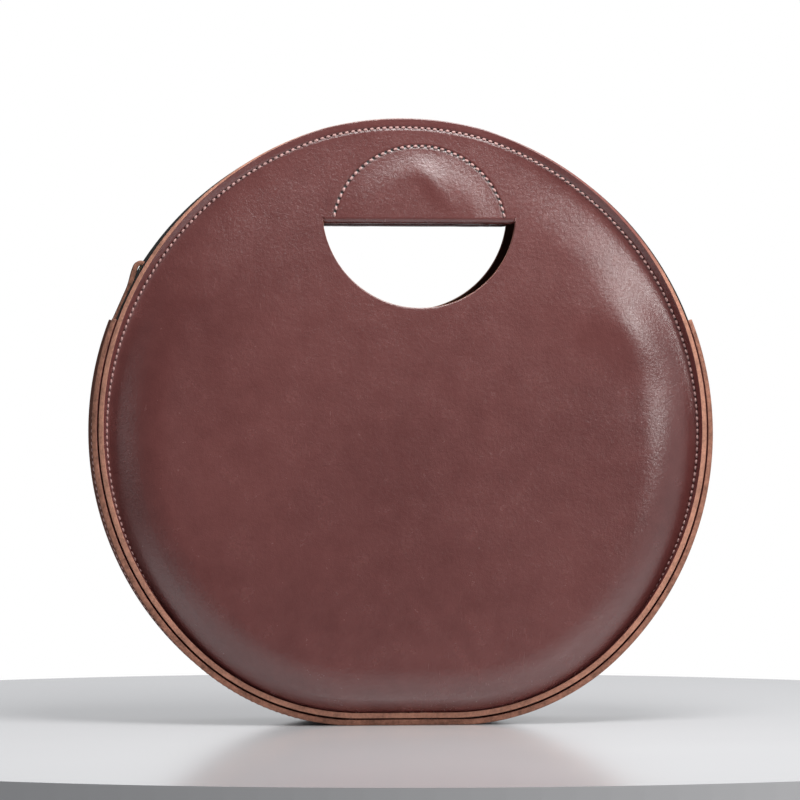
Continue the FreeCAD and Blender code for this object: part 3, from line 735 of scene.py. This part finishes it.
def panel_rays(panel):
    """Distances round the rim of the rays, which meet in the hand hole, starting at its right corner."""
    sizes = panel.sizes
    half_width = math.sqrt(sizes.hole_radius ** 2 - (panel.fold_radius - hole_centre(sizes)) ** 2)
    way = np.linspace(0, panel.outline.length, RIM_SAMPLES)
    x, z, normal_x, normal_z = panel.outline.at(way)
    u, d = panel.rim_curve(z, normal_z, RIM_END)
    across, up = panel.to_face(x + u * normal_x, z + u * normal_z)
    turn = np.unwrap(np.arctan2(up - ray_centre(sizes), across))
    corner = math.atan2(panel.fold_radius - ray_centre(sizes), half_width)
    right, left = np.interp([corner, math.pi - corner], turn, way)
    top = np.linspace(right, left, TOP_RAYS)
    lower = np.linspace(left, right + panel.outline.length, LOWER_RAYS + 2)[1:-1]
    return np.concatenate([top, lower]), half_width


def hole_centre(sizes):
    return sizes.hole_radius - sizes.hole_depth


def ray_centre(sizes):
    """Height, on the leaning face, of the point in the hole where the mesh's rays meet."""
    return -sizes.hole_depth * RAY_MEETING


def hole_points(panel, across, up, half_width):
    """Where rays towards the given places of the face leave the hand hole."""
    sizes = panel.sizes
    start = ray_centre(sizes)
    length_of = np.hypot(across, up - start)
    way_x = across / length_of
    way_y = (up - start) / length_of
    to_centre = start - hole_centre(sizes)
    along = way_y * to_centre
    to_arc = -along + np.sqrt(along ** 2 - to_centre ** 2 + sizes.hole_radius ** 2)
    rising = np.where(way_y > 0, way_y, 1e-9)
    to_fold = (panel.fold_radius - start) / rising
    on_fold = (way_y > 0) & (np.abs(way_x * to_fold) <= half_width + 1e-7)
    reach = np.where(on_fold, to_fold, to_arc)
    return way_x * reach, start + way_y * reach


def seam_stitches(sizes):
    """How many stitches go round a panel, and their exact pitch."""
    whole = Outline(sizes).length
    count = round(whole / sizes.stitch_pitch)
    return count, whole / count


def grip_stitches(sizes):
    """How many stitches the half moon over a grip has."""
    return round(sizes.grip_stitch_radius * sizes.grip_stitch_span / sizes.stitch_pitch)


# Distance, in a leather's stitching map, of places that no stitches are near
UNSEWN = -20 * MM


def grip_map(panel, across, up):
    """Places along and across the half moon of stitches, in steps of the seam's pitch."""
    sizes = panel.sizes
    pitch = seam_stitches(sizes)[1]
    half = sizes.grip_stitch_span / 2
    turn = np.arctan2(across, up - sizes.grip_stitch_rise + sizes.grip_stitch_radius)
    along = (turn + half) / (2 * half) * (grip_stitches(sizes) - 1) * pitch
    sewn = np.abs(turn) < half + END_STITCH * pitch / sizes.grip_stitch_radius
    return along, np.where(sewn, panel.grip_ring(across, up), UNSEWN)


def lay_stitching(piece, sizes, along, across):
    """Maps a leather by its points' places along and across its stitches."""
    whole = Outline(sizes).length
    layer = piece.data.uv_layers.new(name="stitching")
    for polygon in piece.data.polygons:
        corners = [piece.data.loops[k].vertex_index for k in polygon.loop_indices]
        highest = max(along[corner] for corner in corners)
        for k, corner in zip(polygon.loop_indices, corners):
            wrapped = whole if highest - along[corner] > whole / 2 else 0
            layer.data[k].uv = (along[corner] + wrapped, across[corner])


def leather_panel(name, sizes, side, places):
    """A dished panel with its hand hole, and the cut-out leather folded back behind the grip."""
    panel = Panel(sizes)
    way, half_width = panel_rays(panel)
    x, z, normal_x, normal_z = panel.outline.at(way)
    seam = Seam(sizes, normal_z)
    stitch_reach = sizes.seam_allowance - sizes.stitch_inset
    rows = []
    along_map = []
    across_map = []
    for step in np.linspace(1, FLANGE_SHARE, FLANGE_ROWS):
        reach = sizes.seam_allowance * step
        along_map.append(way)
        across_map.append(np.full(len(way), reach - stitch_reach))
        pulled = sizes.stitch_groove * np.exp(-((reach - stitch_reach) / GROOVE_WIDTH) ** 2)
        u, d = seam.flange(reach, seam.half_glue + panel.half - pulled)
        rows.append((x + u * normal_x, d, z + u * normal_z))
    bend = sizes.seam_allowance * FLANGE_SHARE
    bend_u, bend_d = seam.flange(bend, seam.half_glue + panel.half)
    for step in np.linspace(0, 1, RIM_ROWS + 1)[1:]:
        s = RIM_END * step ** RIM_CROWDING
        u, d = panel.rim_curve(z, normal_z, s)
        past_seam = bend - np.hypot(u - bend_u, d - bend_d) - stitch_reach
        pulled = sizes.stitch_groove * np.exp(-(past_seam / GROOVE_WIDTH) ** 2)
        u = u + pulled * seam.along_d
        d = d - pulled * seam.along_u
        rows.append((x + u * normal_x, d, z + u * normal_z))
        along, across = grip_map(panel, *panel.to_face(rows[-1][0], rows[-1][2]))
        nearer = np.abs(past_seam) < np.abs(across)
        along_map.append(np.where(nearer, way, along))
        across_map.append(np.where(nearer, past_seam, across))
    rim_x, rim_depth, rim_z = rows[-1]
    across, up = panel.to_face(rim_x, rim_z)
    hole_across, hole_up = hole_points(panel, across, up, half_width)
    hole_x, hole_depth, hole_z = panel.from_face(hole_across, hole_up, -panel.half)
    for step in np.linspace(0, 1, FACE_ROWS + 1)[1:]:
        share = 1 - (1 - step) ** FACE_CROWDING
        face_x = rim_x + (hole_x - rim_x) * share
        face_z = rim_z + (hole_z - rim_z) * share
        rows.append((face_x, panel.depth(face_x, face_z), face_z))
        along, across = grip_map(panel, *panel.to_face(face_x, face_z))
        along_map.append(along)
        across_map.append(across)
    shaped = []
    for row_x, row_depth, row_z in rows:
        inside, near_x, near_z = panel.outline.inside(row_x, row_z)
        away = ease_in(-inside - sizes.seam_allowance, SWELL_EASE)
        lift = swell(row_x, row_z, places) * away
        row_across, row_up = panel.to_face(row_x, row_z)
        above = row_up > panel.fold_radius - FOLD_SLACK
        lift = lift + sizes.grip_puff * ease_in(panel.grip_ring(row_across, row_up), GRIP_EASE) * above
        shaped.append(np.stack([row_x, side * (row_depth + lift), row_z], axis=1))
    fold_map = across_map[-1][:TOP_RAYS] - UNSEWN * np.sign(across_map[-1][:TOP_RAYS])
    fold_lift = np.abs(shaped[-1][:TOP_RAYS, 1]) - rows[-1][1][:TOP_RAYS]
    cut = np.sqrt(np.maximum(sizes.hole_radius ** 2 - hole_across[:TOP_RAYS] ** 2, 0))
    cut = np.maximum(cut - hole_centre(sizes) + panel.fold_radius, 0)
    roll = panel.fold_radius - panel.half
    half_turn = math.pi * roll
    for step in np.linspace(0, 1, FOLD_ROWS + 1)[1:]:
        gone = cut * step ** FOLD_CROWDING
        turn = np.minimum(gone / roll, math.pi)
        climb = np.maximum(gone - half_turn, 0)
        row_up = panel.fold_radius - roll * np.sin(turn) + climb
        out = -panel.fold_radius + roll * np.cos(turn)
        row_x, row_depth, row_z = panel.from_face(hole_across[:TOP_RAYS], row_up, out)
        shaped.append(np.stack([row_x, side * (row_depth + fold_lift), row_z], axis=1))
        along_map.append(np.zeros(TOP_RAYS))
        across_map.append(fold_map)
    points = np.concatenate(shaped)
    faces = panel_faces(len(rows), len(way))
    if side > 0:
        faces = [list(reversed(face)) for face in faces]
    piece = new_mesh(name, points, faces)
    lay_stitching(piece, sizes, np.concatenate(along_map), np.concatenate(across_map))
    thicken(piece, sizes.leather, sizes.edge_round, PANEL_MATERIALS)
    return piece


def panel_faces(row_count, ray_count):
    """Faces between the rows, round the whole rim and then over the fold alone."""
    faces = []
    for row in range(row_count - 1):
        for ray in range(ray_count):
            following = (ray + 1) % ray_count
            here = row * ray_count
            there = here + ray_count
            faces.append([here + ray, here + following, there + following, there + ray])

    def fold_corner(row, ray):
        at_corner = ray in (0, TOP_RAYS - 1)
        if row == 0 or at_corner:
            return (row_count - 1) * ray_count + ray
        return row_count * ray_count + (row - 1) * TOP_RAYS + ray

    for row in range(FOLD_ROWS):
        for ray in range(TOP_RAYS - 1):
            faces.append([
                fold_corner(row, ray), fold_corner(row, ray + 1),
                fold_corner(row + 1, ray + 1), fold_corner(row + 1, ray),
            ])
    return faces


class BAG_OT_panels(bpy.types.Operator):
    """Makes the two leather panels with their hand holes and folded grips"""

    bl_idname = "bag.panels"
    bl_label = "Panels"

    def execute(self, context):
        sizes = context.scene.bag_sizes
        front = leather_panel("front_leather", sizes, -1, FRONT_SWELLS)
        give(front, "bag", ["front_panel"])
        back = leather_panel("back_leather", sizes, 1, BACK_SWELLS)
        give(back, "bag", ["back_panel"])
        return {"FINISHED"}


# The gusset
GUSSET_STATIONS = 300
BEND_ROWS = 12
WEB_ROWS = 14


class BAG_OT_gusset(bpy.types.Operator):
    """Makes the strip that joins the panels and stands on the table"""

    bl_idname = "bag.gusset"
    bl_label = "Gusset"

    def execute(self, context):
        sizes = context.scene.bag_sizes
        outline = Outline(sizes)
        end = outline.way_at(sizes.gusset_end)
        way = np.linspace(end, -end, GUSSET_STATIONS)
        x, z, normal_x, normal_z = outline.at(way)
        seam = Seam(sizes, normal_z)
        middle = -(seam.half_glue + sizes.leather / 2)
        front = []
        reaches = sizes.seam_allowance * np.linspace(1, FLANGE_SHARE, BEND_ROWS // 2)
        for reach in reaches:
            front.append(seam.flange(reach, middle))
        bend_u, bend_d = front[-1]
        web_u = seam.web_u
        web_d = bend_d - sizes.gusset_bend * (1 + seam.along_d / 2)
        pull = GUSSET_ROUND * sizes.gusset_bend
        for s in np.linspace(0, 1, BEND_ROWS + 1)[1:]:
            u = hermite(bend_u, -pull * seam.along_u, web_u, 0, s)
            d = hermite(bend_d, -pull * seam.along_d, web_d, -pull, s)
            front.append((u, d))
        web = [(web_u, web_d * share) for share in np.linspace(1, -1, WEB_ROWS + 1)[1:-1]]
        back = [(u, -d) for u, d in reversed(front)]
        sewn = reaches - (sizes.seam_allowance - sizes.stitch_inset)
        unsewn = np.full(2 * BEND_ROWS + WEB_ROWS - 1, UNSEWN)
        across_rows = np.concatenate([sewn, unsewn, sewn[::-1]])
        rows = []
        for u, d in front + web + back:
            level = np.maximum(z + u * normal_z, sizes.leather / 2)
            rows.append(np.stack([x + u * normal_x, -d, level], axis=1))
        faces = [list(reversed(face)) for face in sheet_faces(len(rows), GUSSET_STATIONS)]
        piece = new_mesh("gusset_leather", np.concatenate(rows), faces)
        along = np.tile(way, len(rows))
        across = np.repeat(across_rows, GUSSET_STATIONS)
        lay_stitching(piece, sizes, along, across)
        thicken(piece, sizes.leather, sizes.edge_round, GUSSET_MATERIALS)
        give(piece, "bag", ["gusset"])
        return {"FINISHED"}


# Stitches
STITCH_FLATNESS = 0.8
STITCH_SLANT = 0.16
STITCH_PROUD = 0.25


def one_stitch(sizes):
    """Points and faces of one stitch about the origin, along X and swelling towards Z."""
    bpy.ops.object.select_all(action="DESELECT")
    bpy.ops.mesh.primitive_uv_sphere_add(segments=8, ring_count=6, radius=0.5)
    piece = bpy.context.object
    bpy.ops.object.mode_set(mode="EDIT")
    bpy.ops.mesh.select_all(action="SELECT")
    bpy.ops.transform.rotate(value=math.pi / 2, orient_axis="Y", center_override=(0, 0, 0))
    scale = (sizes.stitch_length, sizes.stitch_width, sizes.stitch_width * STITCH_FLATNESS)
    bpy.ops.transform.resize(value=scale, center_override=(0, 0, 0))
    bpy.ops.object.mode_set(mode="OBJECT")
    points = np.array([vertex.co for vertex in piece.data.vertices])
    faces = [list(polygon.vertices) for polygon in piece.data.polygons]
    mesh = piece.data
    bpy.data.objects.remove(piece)
    bpy.data.meshes.remove(mesh)
    return points, faces


def sew(name, sizes, places, along, up):
    """One piece of stitches, each a copy laid at its place, along the seam and slightly slanted."""
    points, faces = one_stitch(sizes)
    side = np.cross(up, along)
    slanted = unit(along + STITCH_SLANT * side)
    side = np.cross(up, slanted)
    all_points = []
    all_faces = []
    for k in range(len(places)):
        laid = points[:, :1] * slanted[k] + points[:, 1:2] * side[k] + points[:, 2:] * up[k] + places[k]
        all_faces += [[corner + k * len(points) for corner in face] for face in faces]
        all_points.append(laid)
    piece = new_mesh(name, np.concatenate(all_points), all_faces)
    piece.data.materials.append(material_named("waxed thread"))
    only(piece)
    bpy.ops.object.shade_smooth()
    return piece


def unit(vectors):
    return vectors / np.linalg.norm(vectors, axis=1)[:, None]


def rim_points(sizes, way, reach, offset, side):
    """Points of a flange at distances round the rim."""
    x, z, normal_x, normal_z = Outline(sizes).at(way)
    u, d = Seam(sizes, normal_z).flange(reach, offset)
    return np.stack([x + u * normal_x, side * d, z + u * normal_z], axis=1)


class BAG_OT_stitches(bpy.types.Operator):
    """Sews the seams round both panels and the half moons over both grips"""

    bl_idname = "bag.stitches"
    bl_label = "Stitches"

    def execute(self, context):
        sizes = context.scene.bag_sizes
        for label, side in (("front", -1), ("back", 1)):
            seam = self.seam(label, sizes, side)
            give(seam, "bag", [label + "_seam_thread"])
            grip = self.grip(label, sizes, side)
            give(grip, "bag", [label + "_grip_thread"])
        return {"FINISHED"}

    def seam(self, label, sizes, side):
        outline = Outline(sizes)
        count, pitch = seam_stitches(sizes)
        way = np.arange(count) * pitch
        under = np.minimum(way, outline.length - way) < outline.way_at(sizes.gusset_end)
        grain = sizes.glue_line / 2 + sizes.leather - sizes.stitch_groove + sizes.stitch_width * STITCH_PROUD
        rows = [self.row(sizes, way, grain, side, 1), self.row(sizes, way[under], -grain, side, -1)]
        places, along, up = [np.concatenate(parts) for parts in zip(*rows)]
        return sew(label + "_seam_stitches", sizes, places, along, up)

    def row(self, sizes, way, offset, side, outward):
        """Places, ways along and ways up of stitches on one side of a seam."""
        reach = sizes.seam_allowance - sizes.stitch_inset
        step = 0.2 * MM
        places = rim_points(sizes, way, reach, offset, side)
        along = unit(rim_points(sizes, way + step, reach, offset, side) - places)
        up = unit(rim_points(sizes, way, reach, offset + outward * step, side) - places)
        return places, along, up

    def grip(self, label, sizes, side):
        panel = Panel(sizes)
        half = sizes.grip_stitch_span / 2
        turn = np.linspace(-half, half, grip_stitches(sizes))
        centre = sizes.grip_stitch_rise - sizes.grip_stitch_radius

        def places_at(turn, lift):
            across = sizes.grip_stitch_radius * np.sin(turn)
            up = centre + sizes.grip_stitch_radius * np.cos(turn)
            x, flat, z = panel.from_face(across, up, -panel.half)
            depth = panel.depth(x, z) + panel.half + lift
            return np.stack([x, side * depth, z], axis=1)

        lift = sizes.stitch_width * STITCH_PROUD
        small_turn = 0.002
        places = places_at(turn, lift)
        along = unit(places_at(turn + small_turn, lift) - places)
        up = unit(places_at(turn, lift + MM) - places)
        return sew(label + "_grip_stitches", sizes, places, along, up)


# The zip

def tape_radius(sizes):
    """Radius, about the disc's middle, of the middle of the zip tape."""
    flange = (1 - FLANGE_SHARE) * sizes.seam_allowance
    under = sizes.gusset_bend + sizes.leather / 2 + sizes.glue_line + sizes.tape_thickness / 2
    return sizes.disc_radius - flange - under


TAPE_STATIONS = 150
TAPE_WEB_ROWS = 6
TAPE_BEND_ROWS = 8
TAPE_WALL_ROWS = 5
TAPE_BEND = 2 * MM


class BAG_OT_zip_tapes(bpy.types.Operator):
    """Makes the two woven tapes that carry the teeth"""

    bl_idname = "bag.zip_tapes"
    bl_label = "Zip tapes"

    def execute(self, context):
        sizes = context.scene.bag_sizes
        for label, side in (("front", -1), ("back", 1)):
            tape = self.tape(label, sizes, side)
            give(tape, "bag", ["zip_tape_" + label])
        return {"FINISHED"}

    def tape(self, label, sizes, side):
        """A web from the teeth outwards, turned up along the inner side of its panel's flange."""
        outline = Outline(sizes)
        end = outline.way_at(sizes.gusset_end)
        x, z, normal_x, normal_z = outline.at(np.linspace(end, outline.length - end, TAPE_STATIONS))
        seam = Seam(sizes, normal_z)
        low = np.full(TAPE_STATIONS, tape_radius(sizes) - sizes.disc_radius)
        beside = -(seam.half_glue + sizes.tape_thickness / 2)
        bend = sizes.seam_allowance * FLANGE_SHARE
        reaches = np.linspace(bend, sizes.seam_allowance - sizes.tape_edge, TAPE_WALL_ROWS)
        wall = [seam.flange(reach, beside) for reach in reaches]
        wall_u, wall_d = wall[0]
        web_d = wall_d - TAPE_BEND
        web_width = web_d - sizes.row_half_width
        pull = 2 * TAPE_BEND
        profile = []
        for share in np.linspace(0, 1, TAPE_WEB_ROWS):
            profile.append((low, sizes.row_half_width + share * web_width))
        for s in np.linspace(0, 1, TAPE_BEND_ROWS)[1:-1]:
            u = hermite(low, 0, wall_u, pull * seam.along_u, s)
            d = hermite(web_d, pull, wall_d, pull * seam.along_d, s)
            profile.append((u, d))
        profile += wall
        rows = [np.stack([x + u * normal_x, side * d, z + u * normal_z], axis=1) for u, d in profile]
        faces = sheet_faces(len(rows), TAPE_STATIONS)
        piece = new_mesh("zip_tape_%s_weave" % label, np.concatenate(rows), faces)
        only(piece)
        cloth = piece.modifiers.new("cloth", "SOLIDIFY")
        cloth.thickness = sizes.tape_thickness
        cloth.offset = 0
        bpy.ops.object.modifier_apply(modifier=cloth.name)
        bpy.ops.object.mode_set(mode="EDIT")
        bpy.ops.mesh.select_all(action="SELECT")
        bpy.ops.mesh.normals_make_consistent(inside=False)
        bpy.ops.object.mode_set(mode="OBJECT")
        bpy.ops.object.shade_smooth_by_angle(angle=SMOOTH_EDGE)
        lay_weave(piece, sizes)
        piece.data.materials.append(material_named("woven tape"))
        return piece


def lay_weave(piece, sizes):
    """Maps a tape by its length along the arc and its width."""
    layer = piece.data.uv_layers.new(name="weave")
    for loop in piece.data.loops:
        x, y, z = piece.data.vertices[loop.vertex_index].co
        turn = math.atan2(z - sizes.centre_height, x)
        reach = math.hypot(x, z - sizes.centre_height)
        layer.data[loop.index].uv = (turn * sizes.disc_radius, abs(y) + reach)


METAL_NODES = (
    "zip_teeth_front", "zip_teeth_back", "zip_top_stops", "zip_bottom_stop", "zip_slider", "zip_bail",
)


class BAG_OT_zip_metal(bpy.types.Operator):
    """Gives the teeth, stops, slider and bail their aged brass"""

    bl_idname = "bag.zip_metal"
    bl_label = "Zip metal"

    def execute(self, context):
        for name in METAL_NODES:
            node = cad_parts[name]
            node.data.materials.clear()
            node.data.materials.append(material_named("aged brass"))
        return {"FINISHED"}


# The pull
PULL_GAP = 0.05 * MM
PULL_ROWS = 14
NECK_ROWS = 9
EYE_STEPS = 12
PULL_COLUMNS = 7


class BAG_OT_leather_pull(bpy.types.Operator):
    """Makes the strip of leather folded over the bail's far bar"""

    bl_idname = "bag.leather_pull"
    bl_label = "Leather pull"

    def execute(self, context):
        sizes = context.scene.bag_sizes
        out = Vector((math.cos(sizes.closed_angle), 0, math.sin(sizes.closed_angle)))
        down = Vector((-math.sin(sizes.closed_angle), 0, math.cos(sizes.closed_angle)))
        above = tape_radius(sizes) + sizes.bail_height + sizes.bail_reach * math.sin(sizes.bail_lift)
        pivot = Vector((0, 0, sizes.centre_height)) + out * above
        pivot += down * sizes.bail_reach * math.cos(sizes.bail_lift)
        along = down * math.cos(sizes.pull_droop) - out * math.sin(sizes.pull_droop)
        away = out * math.cos(sizes.pull_droop) + down * math.sin(sizes.pull_droop)
        flat = sizes.pull_leather / 2 + PULL_GAP
        half = []
        for run in np.linspace(sizes.pull_length, sizes.pull_neck, PULL_ROWS):
            half.append((run, flat))
        for s in np.linspace(0, 1, NECK_ROWS)[1:]:
            run = hermite(sizes.pull_neck, -sizes.pull_neck, 0, -sizes.pull_neck, s)
            half.append((run, hermite(flat, 0, sizes.pull_eye, 0, s)))
        turns = [math.pi / 2 + math.pi * k / EYE_STEPS for k in range(1, EYE_STEPS)]
        eye = [(sizes.pull_eye * math.cos(turn), sizes.pull_eye * math.sin(turn)) for turn in turns]
        line = half + eye + [(run, -aside) for run, aside in reversed(half)]
        widths = np.linspace(-sizes.pull_width / 2, sizes.pull_width / 2, PULL_COLUMNS)
        points = []
        for run, aside in line:
            for across in widths:
                points.append(pivot + along * run + away * aside + Vector((0, across, 0)))
        piece = new_mesh("leather_pull_strip", points, sheet_faces(len(line), len(widths)))
        lay_stitching(piece, sizes, np.zeros(len(points)), np.full(len(points), UNSEWN))
        thicken(piece, sizes.pull_leather, sizes.edge_round, GUSSET_MATERIALS)
        give(piece, "pull", ["leather_pull"])
        return {"FINISHED"}


# The stage
CAMERA_TURN = -6.0
CAMERA_DISTANCE = 2.4
PICTURE_WIDTH = 0.3935
PICTURE_RISE = 14.8 * MM
FLOOR_RADIUS = 0.415
FLOOR_THICKNESS = 0.02
FLOOR_CORNERS = 180
DIM_WORLD = 0.13
BRIGHT_WORLD = 0.6
# Shares of X and Y in the way to the brighter surroundings, and where they begin and are full
BRIGHT_WAY = (0.55, 0.8)
BRIGHT_RANGE = (-0.75, 0.2)
# Lamps: name, place, what they are aimed at, size, power and tint
LAMPS = (
    ("key", (1.16, -1.26, 0.96), "middle", 0.55, 10, (1, 0.985, 0.97)),
    ("fill", (-1.9, -0.3, 0.7), "middle", 1.2, 4, (0.97, 0.98, 1)),
    ("top", (0.1, -0.3, 0.7), "grip", 0.4, 4.8, (1, 0.995, 0.99)),
)


def area_light(name, place, target, size, power, tint):
    data = bpy.data.lights.new(name, "AREA")
    data.shape = "DISK"
    data.size = size
    data.energy = power
    data.color = tint
    light = bpy.data.objects.new(name, data)
    light.location = place
    light.rotation_euler = (Vector(target) - Vector(place)).to_track_quat("-Z", "Y").to_euler()
    bpy.context.scene.collection.objects.link(light)


class BAG_OT_stage(bpy.types.Operator):
    """Makes the floor, the lights, the white surroundings and the camera"""

    bl_idname = "bag.stage"
    bl_label = "Stage"

    def execute(self, context):
        scene = context.scene
        sizes = scene.bag_sizes
        bpy.ops.object.select_all(action="DESELECT")
        place = (0, 0, -FLOOR_THICKNESS / 2)
        bpy.ops.mesh.primitive_cylinder_add(
            vertices=FLOOR_CORNERS, radius=FLOOR_RADIUS, depth=FLOOR_THICKNESS, location=place
        )
        floor = context.object
        floor.name = "floor"
        floor.data.materials.append(material_named("plain floor"))
        targets = {
            "middle": (0, 0, sizes.centre_height),
            "grip": (sizes.grip_offset, 0, sizes.centre_height + sizes.grip_height),
        }
        for name, spot, target, size, power, tint in LAMPS:
            area_light(name, spot, targets[target], size, power, tint)
        self.surroundings(scene)
        self.camera(scene, sizes)
        scene.view_settings.view_transform = "Standard"
        return {"FINISHED"}

    def surroundings(self, scene):
        """White where it is seen; as a light, dim on the camera's side and brighter round to the right."""
        world = bpy.data.worlds.new("surroundings")
        world.use_nodes = True
        world.node_tree.nodes.clear()
        wire = Wire(world.node_tree)
        way = wire.add("ShaderNodeTexCoord", {}, {}, "Generated")
        right = wire.add("ShaderNodeSeparateXYZ", {}, {0: way})
        aside = stretch(wire, BRIGHT_WAY[0] * right + BRIGHT_WAY[1] * right.other(1), *BRIGHT_RANGE)
        dim = wire.add("ShaderNodeBackground", {}, {"Color": (0.95, 0.97, 1, 1), "Strength": DIM_WORLD})
        bright = wire.add("ShaderNodeBackground", {}, {"Color": (0.97, 0.98, 1, 1), "Strength": BRIGHT_WORLD})
        around = wire.add("ShaderNodeMixShader", {}, {0: aside, 1: dim, 2: bright})
        white = wire.add("ShaderNodeBackground", {}, {"Color": (1, 1, 1, 1), "Strength": 1.0})
        seen = wire.add("ShaderNodeLightPath", {}, {}, "Is Camera Ray")
        share = wire.maths("MAXIMUM", seen, seen.other("Is Transmission Ray"))
        both = wire.add("ShaderNodeMixShader", {}, {0: share, 1: around, 2: white})
        output = world.node_tree.nodes.new("ShaderNodeOutputWorld")
        world.node_tree.links.new(both.socket, output.inputs["Surface"])
        scene.world = world

    def camera(self, scene, sizes):
        data = bpy.data.cameras.new("camera")
        data.lens = data.sensor_width * CAMERA_DISTANCE / PICTURE_WIDTH
        camera = bpy.data.objects.new("camera", data)
        turn = math.radians(CAMERA_TURN)
        back = Vector((math.sin(turn), -math.cos(turn), 0))
        camera.location = Vector((0, 0, sizes.centre_height + PICTURE_RISE)) + back * CAMERA_DISTANCE
        camera.rotation_euler = (-back).to_track_quat("-Z", "Y").to_euler()
        scene.collection.objects.link(camera)
        scene.camera = camera


class BAG_PT_panel(bpy.types.Panel):
    """Lists the pieces of the handbag in the sidebar"""

    bl_idname = "BAG_PT_panel"
    bl_label = "Round leather handbag"
    bl_space_type = "VIEW_3D"
    bl_region_type = "UI"
    bl_category = "Handbag"

    def draw(self, context):
        for operator in OPERATORS:
            self.layout.operator(operator.bl_idname)
        for group in (context.scene.bag_sizes, context.scene.bag_colours):
            box = self.layout.box()
            for name in group.__annotations__:
                box.prop(group, name)


OPERATORS = (
    BAG_OT_panels,
    BAG_OT_gusset,
    BAG_OT_stitches,
    BAG_OT_zip_tapes,
    BAG_OT_zip_metal,
    BAG_OT_leather_pull,
    BAG_OT_stage,
)
CLASSES = (BagSizes, BagColours) + OPERATORS + (BAG_PT_panel,)


def register():
    for item in CLASSES:
        bpy.utils.register_class(item)
    bpy.types.Scene.bag_sizes = bpy.props.PointerProperty(type=BagSizes)
    bpy.types.Scene.bag_colours = bpy.props.PointerProperty(type=BagColours)


def unregister():
    del bpy.types.Scene.bag_colours
    del bpy.types.Scene.bag_sizes
    for item in reversed(CLASSES):
        bpy.utils.unregister_class(item)


def main():
    register()
    bpy.ops.bag.panels()
    bpy.ops.bag.gusset()
    bpy.ops.bag.stitches()
    bpy.ops.bag.zip_tapes()
    bpy.ops.bag.zip_metal()
    bpy.ops.bag.leather_pull()
    bpy.ops.bag.stage()


if __name__ == "__main__":
    main()
